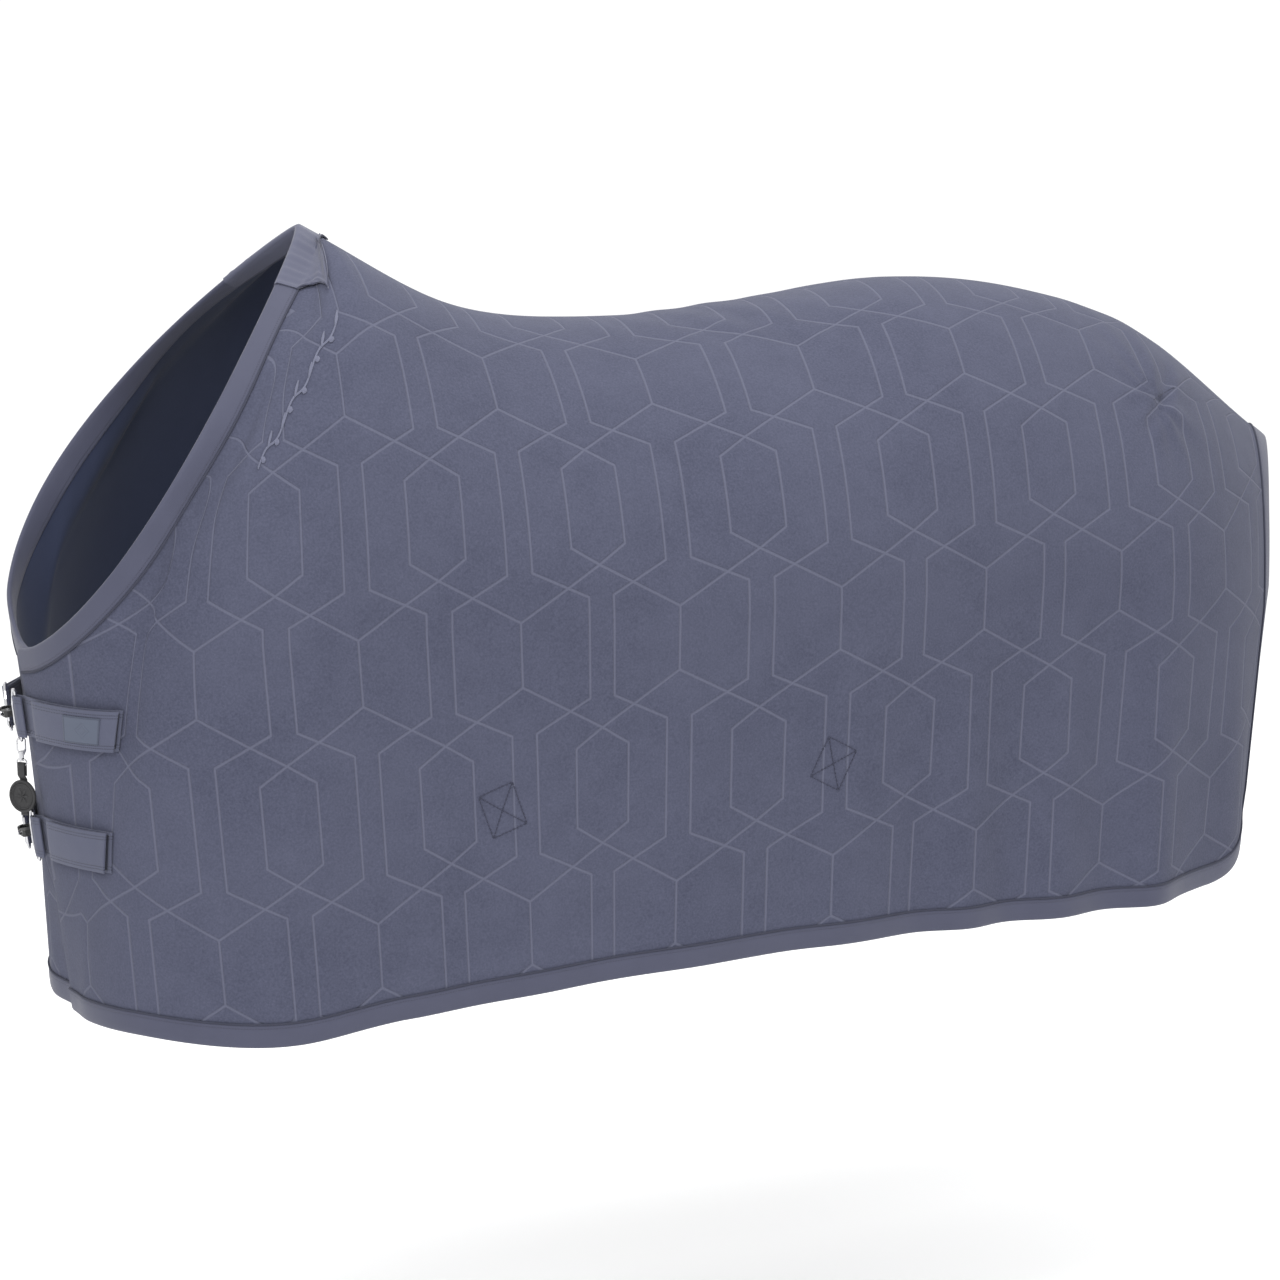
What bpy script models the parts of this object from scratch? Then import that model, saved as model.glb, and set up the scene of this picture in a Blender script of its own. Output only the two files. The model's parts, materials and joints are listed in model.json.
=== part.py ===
"""Embossed fleece horse rug: two shaped side panels sewn along the back, bound edges,
two clipped chest straps, a hanging charm, and two crossed belly surcingles.

Frame: origin under the withers, +X towards the tail, -Y the horse's left side, +Z up.
All sizes are in metres.
"""
import math

import bmesh
import bpy
import numpy as np
from mathutils import Matrix, Vector

# ---------------------------------------------------------------- driving sizes: the cut
BACK_LENGTH = 1.55          # withers to tail along the horse's back
FIT_GAP = 0.0003            # clearance between sewn layers
FACE_THICK = 0.0020         # embossed outer fleece
LINING_THICK = 0.0012       # smooth inner lining
BAND_WIDTH = 0.028          # binding on neckline, hem and rear edge
BAND_GAP = 0.0010           # from a binding's inner line to the panel's cut edge
BAND_HALF = 0.0030          # half the thickness of a folded binding
PIPING_RADIUS = 0.0015      # cord sewn along the binding's inner line
SEAM_GAP = 0.0003           # between the two panels at the back seam
SEAM_TAPE_HALF = 0.014      # half width of the tape inside the back seam
COLLAR_THICK = 0.0018
COLLAR_GAP = 0.0006         # between the folded collar and the binding
COLLAR_CURVE = 0.0034       # room under the collar where the shoulder curves
NECK_PIPING_OUT = BAND_HALF + COLLAR_GAP + PIPING_RADIUS + 0.0004    # cord's height on the binding
SEAM_TAPE_GAP = 0.0008      # tape to lining, where the lining curves

# ---------------------------------------------------------------- driving sizes: the form
# back line: distance behind the withers and height, withers to croup, then the tail
BACK_LINE = ((0.0, 0.0), (0.20, -0.100), (0.42, -0.124), (0.65, -0.108),
             (0.88, -0.084), (1.08, -0.103), (1.25, -0.150))
TAIL_HEIGHT = -0.337
CHEST_X = -0.330            # front of the chest
SHOULDER_X = 0.0            # where the chest curve ends and the side begins
SHOULDER_HALF = 0.273       # half width at the shoulder
BARREL_HALF = 0.315         # half width at the barrel
BARREL_X = 0.60
HAUNCH_X = 1.10
REAR_X = 1.43               # rear edge of the side panels
REAR_HALF = 0.152
CHEST_ROUND = 2.53          # 2 is an ellipse, more is squarer
NECK_FRONT = (-0.367, -0.492)    # lowest point of the neckline (x, z)
NECK_BEND = (-0.264, -0.270)     # pull point of the neckline curve
NECK_HALF = 0.195                # half width of the neck opening
NECK_SWELL = 0.753
CHEST_STRAIGHT = 0.40       # share of the chest curve over which the front hangs straight
COLLAR_START = 0.88         # where the withers patch begins along the neckline
NECK_EASE = 0.6             # how far down the cloth keeps the neckline's lie (radians of the curve)
SHOULDER_DROP = 0.42        # height of the rounded upper side
# hem heights along the panel: 0 chest centre, 1 shoulder, 2 rear edge
HEM_LINE = ((0.0, -0.945), (0.3, -0.940), (0.8, -0.949), (1.3, -0.912), (1.8, -0.925), (2.0, -0.925))
HEM_FRONT_X = -0.315        # front corner of the hem
HEM_CORNER = 0.10           # radius of the rear bottom corner
REAR_LEAN = 0.030           # rear edge leans in towards the hem

# ---------------------------------------------------------------- driving sizes: the chest
UNDERLAP_STATIONS = (0.12, 0.06, 0.03)    # how far the right panel runs under the left one
UNDERLAP_DEPTH = 0.0080
UNDERLAP_BLEND = 0.14
CLOTH_CURVE = 0.0009        # room under a stiff strap or tape where the cloth curves
TAB_RISE = {"upper": 0.0031, "lower": 0.0010}       # room under the far tabs, likewise
CREASE_ACROSS = -0.0100     # where the strap's peeling end folds
LAYER_GAP = 0.0006          # between the curved layers of a chest strap
STRAP_WIDTH = 0.050
STRAP_THICK = 0.0022
STRAP_LENGTH = 0.125
TAPE_THICK = 0.0010
CLOSURE_HEIGHTS = {"upper": -0.573, "lower": -0.722}
LOOP_BAR = (0.010, 0.012)   # strap loop centre: across, out from the chest
RING_BAR = (0.076, 0.003)   # the far ring's straight bar
SNAP_CENTRE = 0.053         # where the snap's hook encircles the ring
WIRE_RADIUS = 0.0020
EYE_HALF = 0.031            # half height of the snap's strap eye
SNAP_HALF_THICK = 0.0040
HOOK_INNER = 0.0060
HOOK_OUTER = 0.0095
BOLT_RADIUS = 0.0014
BOLT_OUT = 0.0198
BOLT_TRAVEL = 0.0065
STUD_RADIUS = 0.0020
LABEL_SIZE = (0.050, 0.031)
LABEL_PLACE = -0.0835

# ---------------------------------------------------------------- driving sizes: the charm
CHARM_ACROSS = 0.0148       # where the charm hangs on the upper eye
CHARM_TURN = math.radians(32)
MEDAL_RADIUS = 0.0185
MEDAL_THICK = 0.0034
CHARM_STRAP_WIDTH = 0.0105
CHARM_STRAP_THICK = 0.0018
TAG_FACE = -0.0022          # the strap lies behind its pivot, so that the medallion hangs plumb

# ---------------------------------------------------------------- driving sizes: surcingles
SURCINGLE_WIDTH = 0.044
SURCINGLE_THICK = 0.0018
PATCH_LENGTH = 0.056
FRONT_PATCH = (0.129, -0.692, math.radians(20))     # x, z, lean towards the rear
REAR_PATCH = (0.581, -0.676, math.radians(-26))
BELLY_DROP = 0.150
BELLY_INSET = 0.022
CROSSING_GAP = 0.018
SLIDER_PLACE = 0.36
TONGUE_THICK = 0.0022
LINING_CURVE = 0.0019       # room between a patch and the curved lining
RUN_EASE = 0.08             # share of the run over which a strap leaves the cloth
LINK_WIDTH = SURCINGLE_WIDTH + 0.010
SLIDER_CLEAR = 0.0006

# stations along a panel and rows down it
CHEST_STATIONS = (0.0, 0.03, 0.06, 0.12, 0.24, 0.36, 0.48, 0.60, 0.71, 0.80, 0.88, 0.92, 0.95,
                  0.98, 1.0)
BODY_STATIONS = 12
ROW_FRACTIONS = (0.0, 0.035, 0.08, 0.135, 0.20, 0.275, 0.36, 0.46, 0.57, 0.68, 0.79, 0.90, 1.0)

COLORS = {
    "fleece": ((0.105, 0.110, 0.160), 0.9, 0.0),
    "lining": ((0.014, 0.018, 0.034), 0.85, 0.0),
    "binding": ((0.125, 0.127, 0.185), 0.8, 0.0),
    "piping": ((0.030, 0.031, 0.048), 0.7, 0.0),
    "webbing": ((0.150, 0.152, 0.215), 0.8, 0.0),
    "dark_webbing": ((0.020, 0.022, 0.036), 0.8, 0.0),
    "label": ((0.120, 0.128, 0.165), 0.55, 0.0),
    "steel": ((0.55, 0.55, 0.57), 0.25, 1.0),
    "dark_metal": ((0.03, 0.03, 0.033), 0.35, 0.9),
    "leather": ((0.022, 0.022, 0.022), 0.6, 0.0),
}
Y_AXIS = np.array((0.0, 1.0, 0.0))


# ================================================================ helpers: scene and meshes
def clear_scene():
    for item in list(bpy.data.objects):
        bpy.data.objects.remove(item, do_unlink=True)


def material(name):
    found = bpy.data.materials.get(name)
    if found:
        return found
    color, roughness, metallic = COLORS[name]
    made = bpy.data.materials.new(name)
    made.use_nodes = True
    shader = made.node_tree.nodes["Principled BSDF"]
    shader.inputs["Base Color"].default_value = (*color, 1.0)
    shader.inputs["Roughness"].default_value = roughness
    shader.inputs["Metallic"].default_value = metallic
    return made


def add_object(name, data, finish, origin=None):
    """Link a mesh or curve as the sub-part NAME, with its origin on ORIGIN when given."""
    data.materials.append(material(finish))
    made = bpy.data.objects.new(name, data)
    bpy.context.scene.collection.objects.link(made)
    if origin is not None:
        place = Vector(origin)
        data.transform(Matrix.Translation(-place))
        made.location = place
    return made


def finish_mesh(name, bm, finish, origin=None, sharp=40):
    """Close a bmesh into the sub-part NAME with its faces pointing out."""
    if bm.calc_volume(signed=True) < 0:
        bmesh.ops.reverse_faces(bm, faces=bm.faces[:])
    mesh = bpy.data.meshes.new(name)
    bm.to_mesh(mesh)
    bm.free()
    mesh.shade_smooth()
    mesh.set_sharp_from_angle(angle=math.radians(sharp))
    return add_object(name, mesh, finish, origin)


def unit(vector):
    return vector / np.linalg.norm(vector)


def split(bm, a, b, c, d):
    """A four-sided face as two triangles, so that stacked layers fold along the same lines."""
    bm.faces.new((a, b, c))
    bm.faces.new((a, c, d))


def patch_solid(name, places, faces, finish, origin=None):
    """A sheet of four-sided faces; PLACES gives each corner's lower and upper point."""
    bm = bmesh.new()
    low = {key: bm.verts.new(pair[0]) for key, pair in places.items()}
    top = {key: bm.verts.new(pair[1]) for key, pair in places.items()}
    edges = {}
    for corners in faces:
        split(bm, *(top[key] for key in corners))
        a, b, c, d = (low[key] for key in corners)
        bm.faces.new((a, c, b))
        bm.faces.new((a, d, c))
        for start, end in zip(corners, corners[1:] + corners[:1]):
            if (end, start) in edges:
                del edges[(end, start)]
            else:
                edges[(start, end)] = True
    for start, end in edges:
        split(bm, low[start], low[end], top[end], top[start])
    return finish_mesh(name, bm, finish, origin)


def slab(name, lower, upper, finish, origin=None):
    """A thin sheet from two grids of points."""
    rows, columns = len(lower), len(lower[0])
    places = {(i, j): (lower[i][j], upper[i][j]) for i in range(rows) for j in range(columns)}
    faces = [((i, j), (i + 1, j), (i + 1, j + 1), (i, j + 1))
             for i in range(rows - 1) for j in range(columns - 1)]
    return patch_solid(name, places, faces, finish, origin)


def loft(name, rings, finish, origin=None):
    """A strip swept through closed rings of points, capped at both ends."""
    bm = bmesh.new()
    made = [[bm.verts.new(p) for p in ring] for ring in rings]
    count = len(rings[0])
    for first, second in zip(made, made[1:]):
        for k in range(count):
            after = (k + 1) % count
            split(bm, first[k], second[k], second[after], first[after])
    bm.faces.new(made[0])
    bm.faces.new(made[-1][::-1])
    return finish_mesh(name, bm, finish, origin)


def wire(name, points, radius, finish, cyclic=False, resolution=2, origin=None):
    """A round wire or cord along the points."""
    curve = bpy.data.curves.new(name, "CURVE")
    curve.dimensions = "3D"
    curve.bevel_depth = radius
    curve.bevel_resolution = resolution
    curve.use_fill_caps = True
    spline = curve.splines.new("POLY")
    spline.points.add(len(points) - 1)
    for point, place in zip(spline.points, points):
        point.co = (*place, 1.0)
    spline.use_cyclic_u = cyclic
    return add_object(name, curve, finish, origin)


def as_mesh(item):
    """Turn a curve object into a mesh object of the same name."""
    name = item.name
    graph = bpy.context.evaluated_depsgraph_get()
    mesh = bpy.data.meshes.new_from_object(item.evaluated_get(graph))
    place = item.location.copy()
    item.name = name + "_curve"
    made = bpy.data.objects.new(name, mesh)
    made.location = place
    bpy.context.scene.collection.objects.link(made)
    bpy.data.objects.remove(item, do_unlink=True)
    return made


def combine(target, tool, operation):
    """Cut or join with a guide solid that stays out of the model."""
    tool.hide_render = True
    tool.display_type = "WIRE"
    step = target.modifiers.new(tool.name, "BOOLEAN")
    step.operation = operation
    step.solver = "EXACT"
    step.object = tool


def cylinder(name, start, end, radius, finish, sides=20, origin=None):
    start, end = Vector(start), Vector(end)
    bm = bmesh.new()
    turn = (end - start).to_track_quat("Z", "Y").to_matrix().to_4x4()
    bmesh.ops.create_cone(bm, cap_ends=True, segments=sides, radius1=radius, radius2=radius,
                          depth=(end - start).length,
                          matrix=Matrix.Translation((start + end) / 2) @ turn)
    return finish_mesh(name, bm, finish, origin)


def plate(name, outline, frame, low, high, finish, bevel=0.0, origin=None):
    """A flat outline, given in a frame's first two axes, extruded along its third."""
    bm = bmesh.new()
    base = bm.faces.new([bm.verts.new(frame(a, b, low)) for a, b in outline])
    lifted = bmesh.ops.extrude_face_region(bm, geom=[base])
    rise = Vector(frame(0, 0, high)) - Vector(frame(0, 0, low))
    moved = [v for v in lifted["geom"] if isinstance(v, bmesh.types.BMVert)]
    bmesh.ops.translate(bm, verts=moved, vec=rise)
    if bevel:
        rim = [e for e in bm.edges if e.calc_face_angle(0.0) > math.radians(50)]
        bmesh.ops.bevel(bm, geom=rim, offset=bevel, segments=1, affect="EDGES")
    return finish_mesh(name, bm, finish, origin)


# ================================================================ helpers: the rug's form
def smooth_line(points, x):
    """A smooth curve through (x, value) points."""
    xs = np.array([p[0] for p in points])
    ys = np.array([p[1] for p in points])
    slopes = np.gradient(ys, xs)
    i = int(np.clip(np.searchsorted(xs, x) - 1, 0, len(xs) - 2))
    width = xs[i + 1] - xs[i]
    t = float(np.clip((x - xs[i]) / width, 0.0, 1.0))
    return ((2 * t**3 - 3 * t**2 + 1) * ys[i] + (t**3 - 2 * t**2 + t) * width * slopes[i]
            + (3 * t**2 - 2 * t**3) * ys[i + 1] + (t**3 - t**2) * width * slopes[i + 1])


def back_point(x):
    return np.array((x, 0.0, smooth_line(BACK_LINE + ((BACK_LENGTH, TAIL_HEIGHT),), x)))


def neck_edge(k):
    """Outer edge of the neckline: 0 at the chest, 1 at the withers (left side)."""
    k = float(np.clip(k, 0.0, 1.0))
    x = (1 - k)**2 * NECK_FRONT[0] + 2 * k * (1 - k) * NECK_BEND[0]
    z = (1 - k)**2 * NECK_FRONT[1] + 2 * k * (1 - k) * NECK_BEND[1]
    swing = max(math.sin(math.pi * k**0.8), 0.0)**NECK_SWELL
    return np.array((x, -NECK_HALF * swing, z))


def plan_point(s):
    """Foot of the rounded upper side, seen from above: chest curve, then the side."""
    angle = float(np.clip(s, 0.0, 1.0)) * math.pi / 2
    power = 2.0 / CHEST_ROUND
    if s < 1.0:
        x = SHOULDER_X - (SHOULDER_X - CHEST_X) * max(math.cos(angle), 0.0)**power
        return np.array((x, -SHOULDER_HALF * max(math.sin(angle), 0.0)**power))
    x = SHOULDER_X + (REAR_X - SHOULDER_X) * (s - 1.0)
    if x < BARREL_X:
        t = (x - SHOULDER_X) / (BARREL_X - SHOULDER_X)
        return np.array((x, -SHOULDER_HALF - (BARREL_HALF - SHOULDER_HALF) * math.sin(t * math.pi / 2)))
    t = max(0.0, (x - HAUNCH_X) / (REAR_X - HAUNCH_X))
    return np.array((x, -BARREL_HALF + (BARREL_HALF - REAR_HALF) * t**1.7))


def hem_point(s):
    x, y = plan_point(s)
    z = smooth_line(HEM_LINE, s)
    t = float(np.clip((x - (REAR_X - HEM_CORNER)) / HEM_CORNER, 0.0, 1.0))
    z += HEM_CORNER * (1 - math.sqrt(max(1 - t * t, 0.0)))
    front = max(0.0, 1.0 - s)
    x += (HEM_FRONT_X - CHEST_X) * front - REAR_LEAN * max(0.0, s - 1.0)**2
    return np.array((x, y, z))


def neck_slope(s):
    """How straight the cloth runs down from its top edge: 1 at the chest, 0 at the back."""
    return max(0.0, 1.0 - s)


def foot_point(s, top_height):
    """Where the rounded upper part ends, and its height below the top edge."""
    foot, hem = plan_point(s), hem_point(s)
    straight = max(0.0, 1.0 - s / CHEST_STRAIGHT)
    half = min(SHOULDER_DROP, 0.45 * (top_height - hem[2]))
    half += (top_height - hem[2] - half) * straight
    return foot + (hem[:2] - foot) * straight, half


def neck_inner(k):
    """The neckline binding's inner line, square across the cloth from its edge."""
    if k > 0.999:
        return back_point(BAND_WIDTH)
    step = 0.002
    along = unit(neck_edge(k + step) - neck_edge(max(k - step, 0.0)))
    edge = neck_edge(k)
    foot, half = foot_point(k, edge[2])
    lie = unit(np.array((foot[0] - edge[0], foot[1] - edge[1], -neck_slope(k) * half)))
    lie = lie * (1 - k**6) + back_point(0.1) / 0.1 * k**6
    across = unit(lie - along * float(lie @ along))
    return edge + across * BAND_WIDTH


def top_point(s):
    if s < 1.0:
        return neck_inner(s)
    return back_point(BAND_WIDTH + (BACK_LENGTH - BAND_WIDTH) * (s - 1.0))


FALLS = {}


def fall_line(s):
    """Points down the cloth from its top edge to the hem, with their running length."""
    key = round(s, 6)
    if key in FALLS:
        return FALLS[key]
    top, hem = top_point(s), hem_point(s)
    foot, half = foot_point(s, top[2])
    slope = neck_slope(s)
    start = np.array((foot[0] - top[0], foot[1] - top[1], -half * slope))
    turn = np.zeros(3)
    if s < 1.0:
        turn = (unit(top - neck_edge(s)) * np.linalg.norm(start) - start) * min(1.0, s / 0.6)**2
    points = []
    for angle in np.linspace(0.0, math.pi / 2, 33):
        out = math.sin(angle)
        drop = (1 - slope) * (1 - math.cos(angle)) + slope * out
        ease = angle * max(0.0, 1 - angle / NECK_EASE)**2
        points.append(np.array((top[0] + (foot[0] - top[0]) * out, top[1] + (foot[1] - top[1]) * out,
                                top[2] - half * drop)) + turn * ease)
    base = np.array(points[-1])
    if s >= CHEST_STRAIGHT * 0.001:
        for share in np.linspace(0.0, 1.0, 9)[1:]:
            points.append(base + (hem - base) * share)
    points = np.array(points)
    lengths = np.concatenate(([0.0], np.cumsum(np.linalg.norm(np.diff(points, axis=0), axis=1))))
    FALLS[key] = (points, lengths)
    return FALLS[key]


def fall_at(s, v):
    points, lengths = fall_line(s)
    reach = v * lengths[-1]
    return np.array([np.interp(reach, lengths, points[:, axis]) for axis in range(3)])


def fall_length(s):
    return fall_line(s)[1][-1]


def cloth_normal(s, v):
    """Outward normal of the left side's cloth."""
    a, b = max(s - 0.004, 0.0), min(s + 0.004, 2.0)
    c, d = max(v - 0.01, 0.0), min(v + 0.01, 1.0)
    if s >= 1.0 and a < 1.0:
        a = 1.0
    normal = unit(np.cross(fall_at(s, d) - fall_at(s, c), fall_at(b, v) - fall_at(a, v)))
    if v < 1e-6 and s < 1.0:
        away = unit(neck_edge(s) - fall_at(s, 0.0))
        normal = unit(normal - away * float(normal @ away))
    if v < 1e-6 and s >= 1.0:
        normal[1] = 0.0
        normal = unit(normal)
    return normal


def cloth(side, s, v, out=0.0):
    """A point on a panel. Side is -1 for left, +1 for right; OUT is measured outwards."""
    flip = -side if s >= 0 else side
    place, normal = fall_at(abs(s), v), cloth_normal(abs(s), v)
    if s >= 1.0 and v < 1e-6:
        place = place - Y_AXIS * SEAM_GAP / 2
    if side > 0:
        ramp = float(np.clip((UNDERLAP_BLEND - s) / UNDERLAP_BLEND, 0.0, 1.0))
        out = out - UNDERLAP_DEPTH * ramp * ramp * (3 - 2 * ramp)
    place = place + normal * out
    return place * np.array((1.0, flip, 1.0))


def stations(side):
    front = [0.0] if side < 0 else [-s for s in UNDERLAP_STATIONS] + [0.0]
    chest = list(CHEST_STATIONS[1:])
    rear = 2.0 - BAND_WIDTH / (REAR_X - SHOULDER_X)
    body = list(np.linspace(1.0, 1.90, BODY_STATIONS + 1))[1:]
    return front + chest + body + [1.94, rear]


def band_start(s):
    return 1.0 - BAND_WIDTH / fall_length(abs(s))


# ================================================================ the shell
def shell_layer(name, side, low, high, finish):
    lower, upper = [], []
    for s in stations(side):
        rows = [f * band_start(s) for f in ROW_FRACTIONS]
        lower.append([cloth(side, s, v, low) for v in rows])
        upper.append([cloth(side, s, v, high) for v in rows])
    return slab(name, lower, upper, finish)


def band_ring(inner, edge, inner_normal, edge_normal):
    """Cross-section of a folded binding from its inner line to its rounded edge."""
    away = unit(edge - inner)
    start, shoulder = inner + away * BAND_GAP, edge - away * BAND_HALF
    return [start + inner_normal * BAND_HALF, shoulder + edge_normal * BAND_HALF,
            edge + edge_normal * BAND_HALF * 0.4, edge - edge_normal * BAND_HALF * 0.4,
            shoulder - edge_normal * BAND_HALF, start - inner_normal * BAND_HALF]


def rear_stations():
    """Down the rear edge: the rows of the panel from its hem up to the tail."""
    return [f * band_start(stations(-1)[-1]) for f in reversed(ROW_FRACTIONS)]


def hem_binding(name, side):
    """One binding: along the hem, round the rear corner and up to the tail."""
    rings = []
    places = stations(side)
    for s in places:
        v = band_start(s)
        n = cloth(side, s, v, 1.0) - cloth(side, s, v)
        rings.append(band_ring(cloth(side, s, v), cloth(side, s, 1.0), n, n))
    last = places[-1]
    corner_normal = cloth(side, 2.0, 1.0, 1.0) - cloth(side, 2.0, 1.0)
    inner = cloth(side, last, band_start(last))
    inner_normal = cloth(side, last, band_start(last), 1.0) - inner
    rings.append(band_ring(inner, cloth(side, 2.0, 1.0), inner_normal, corner_normal))
    for v in rear_stations():
        n = cloth(side, last, v, 1.0) - cloth(side, last, v)
        m = cloth(side, 2.0, v, 1.0) - cloth(side, 2.0, v)
        rings.append(band_ring(cloth(side, last, v), cloth(side, 2.0, v), n, m))
    return loft(name, rings, "binding")


def neck_stations():
    """Round the neckline: left chest, over the withers, right chest and its underlap."""
    chest = list(CHEST_STATIONS)
    left = [(-1, k) for k in chest]
    right = [(1, k) for k in reversed(chest[:-1])]
    return left + right + [(1, -s) for s in reversed(UNDERLAP_STATIONS)]


def neck_line(side, k, inner):
    """Inner or outer line of the neckline binding, with the cloth's normal there."""
    flat = np.array((1.0, -side if k >= 0 else side, 1.0))
    normal = cloth(side, k, 0.0, 1.0) - cloth(side, k, 0.0)
    base = neck_inner(abs(k)) if inner else neck_edge(abs(k))
    shift = cloth(side, k, 0.0) - fall_at(abs(k), 0.0) * flat
    if k > 0.999:
        shift = shift * 0.0
        normal = np.array((0.0, 0.0, 1.0)) * normal[2] + np.array((1.0, 0.0, 0.0)) * normal[0]
    return base * flat + shift, unit(normal)


def neck_binding():
    rings = []
    for side, k in neck_stations():
        inner, normal = neck_line(side, k, True)
        edge, _ = neck_line(side, k, False)
        across = unit(edge - inner)
        normal = unit(normal - across * float(normal @ across))
        rings.append(band_ring(inner, edge, normal, normal))
    return loft("neck_binding", rings, "binding")


def piping_offset():
    return FACE_THICK + FIT_GAP + PIPING_RADIUS


def neck_piping():
    points = []
    for side, k in neck_stations():
        if side > 0 and k <= 0.0:
            continue
        inner, normal = neck_line(side, k, True)
        edge, _ = neck_line(side, k, False)
        away = unit(edge - inner)
        normal = unit(normal - away * float(normal @ away))
        points.append(inner + normal * NECK_PIPING_OUT + away * (PIPING_RADIUS + BAND_GAP))
    return wire("neck_piping", points, PIPING_RADIUS, "piping", resolution=1)


def hem_piping(name, side):
    points = []
    inset = PIPING_RADIUS + FIT_GAP
    places = stations(side)
    for s in places[:-1]:
        v = band_start(s) - inset / fall_length(abs(s))
        points.append(cloth(side, s, v, piping_offset()))
    last = places[-1]
    back = last - inset / (REAR_X - SHOULDER_X)
    corner = band_start(last) - inset / fall_length(last)
    points.append(cloth(side, back, corner, piping_offset()))
    spine_end = (PIPING_RADIUS + SEAM_GAP) / fall_length(last)
    for v in rear_stations()[1:]:
        points.append(cloth(side, back, max(v, spine_end), piping_offset()))
    return wire(name, points, PIPING_RADIUS, "piping", resolution=1)


def seam_tape():
    lower, upper = [], []
    deep = LINING_THICK + FIT_GAP + SEAM_TAPE_GAP
    for s in stations(-1):
        if s < 1.0:
            continue
        row = ROW_FRACTIONS[1] * band_start(s)
        share = SEAM_TAPE_HALF / (row * fall_length(s))
        for grid, out in ((upper, -deep), (lower, -deep - LINING_THICK)):
            middle = cloth(-1, s, 0.0, out)
            middle[1] = 0.0
            left = middle + (cloth(-1, s, row, out) - middle) * share
            grid.append([left, middle, left * np.array((1.0, -1.0, 1.0))])
    return slab("spine_seam_tape", lower, upper, "dark_webbing")


def collar_edge(side, k):
    """The collar's four corners round the binding at one place of the neckline."""
    inner, normal = neck_line(side, k, True)
    edge, _ = neck_line(side, k, False)
    away = unit(edge - inner)
    normal = unit(normal - away * float(normal @ away))
    lift, over = BAND_HALF + COLLAR_GAP, NECK_PIPING_OUT + PIPING_RADIUS + COLLAR_GAP * 2
    near, far = edge + away * FIT_GAP, edge + away * (FIT_GAP + COLLAR_THICK)
    raised = lift + COLLAR_THICK
    return {"top": (inner + normal * over, inner + normal * (over + COLLAR_THICK)),
            "front": (near + normal * lift, far + normal * raised),
            "fold": (near - normal * lift, far - normal * raised),
            "inside": (inner + away * 0.002 - normal * lift, inner + away * 0.002 - normal * raised)}


def withers_collar():
    """Smooth patch folded over the neckline at the withers and laid on both panels."""
    places, faces = {}, []
    low = FACE_THICK + FIT_GAP + COLLAR_CURVE
    near = [(-1, k) for k in CHEST_STATIONS if k >= COLLAR_START]
    neck = near + [(1, k) for _, k in reversed(near[:-1])]
    back = stations(-1)[len(CHEST_STATIONS)]
    row = ROW_FRACTIONS[1]
    for i, (side, k) in enumerate(neck):
        for label, pair in collar_edge(side, k).items():
            places[(label, i)] = pair
    for i in range(len(neck) - 1):
        for first, second in (("top", "front"), ("front", "fold"), ("fold", "inside")):
            faces.append(((first, i), (first, i + 1), (second, i + 1), (second, i)))
    middle = len(near) - 1
    spine = cloth(-1, back, 0.0, low) * np.array((1.0, 0.0, 1.0))
    spine_top = cloth(-1, back, 0.0, low + COLLAR_THICK) * np.array((1.0, 0.0, 1.0))
    places["spine"] = (spine, spine_top)
    for side in (-1, 1):
        for k in [k for _, k in near] + [back]:
            v = row * band_start(k)
            places[(side, k)] = (cloth(side, k, v, low), cloth(side, k, v, low + COLLAR_THICK))
        bridge = zip(places[(side, 0.95)], places[(side, 1.0)])
        places[(side, 0.98)] = tuple(start * 0.4 + end * 0.6 for start, end in bridge)
        ends = [("top", middle + side * (middle - i)) for i in range(len(near))] + ["spine"]
        keys = [k for _, k in near] + [back]
        for i in range(len(near)):
            corners = [ends[i], ends[i + 1], (side, keys[i + 1]), (side, keys[i])]
            faces.append(tuple(corners) if side > 0 else (corners[0], corners[3], corners[2], corners[1]))
    patch_solid("withers_collar", places, faces, "webbing")


def build_shell():
    sides = {"left": -1, "right": 1}
    for label, side in sides.items():
        shell_layer(label + "_panel", side, 0.0, FACE_THICK, "fleece")
        shell_layer(label + "_lining", side, -FIT_GAP - LINING_THICK, -FIT_GAP, "lining")
        hem_binding(label + "_hem_binding", side)
        hem_piping(label + "_hem_piping", side)
    neck_binding()
    neck_piping()
    seam_tape()
    withers_collar()


# ================================================================ the chest closures
def station_at(across):
    """Panel station whose foot lies ACROSS metres from the chest's centre line."""
    share = min(1.0, abs(across) / SHOULDER_HALF)
    return math.asin(share**(CHEST_ROUND / 2)) / (math.pi / 2)


def cloth_at_height(side, across, z, out):
    """The panel's point at a height and a distance from the centre line."""
    s = station_at(across)
    low, high = 0.0, 1.0
    for _ in range(30):
        middle = (low + high) / 2
        if fall_at(s, middle)[2] > z:
            low = middle
        else:
            high = middle
    return cloth(side, s, low, out)


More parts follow.
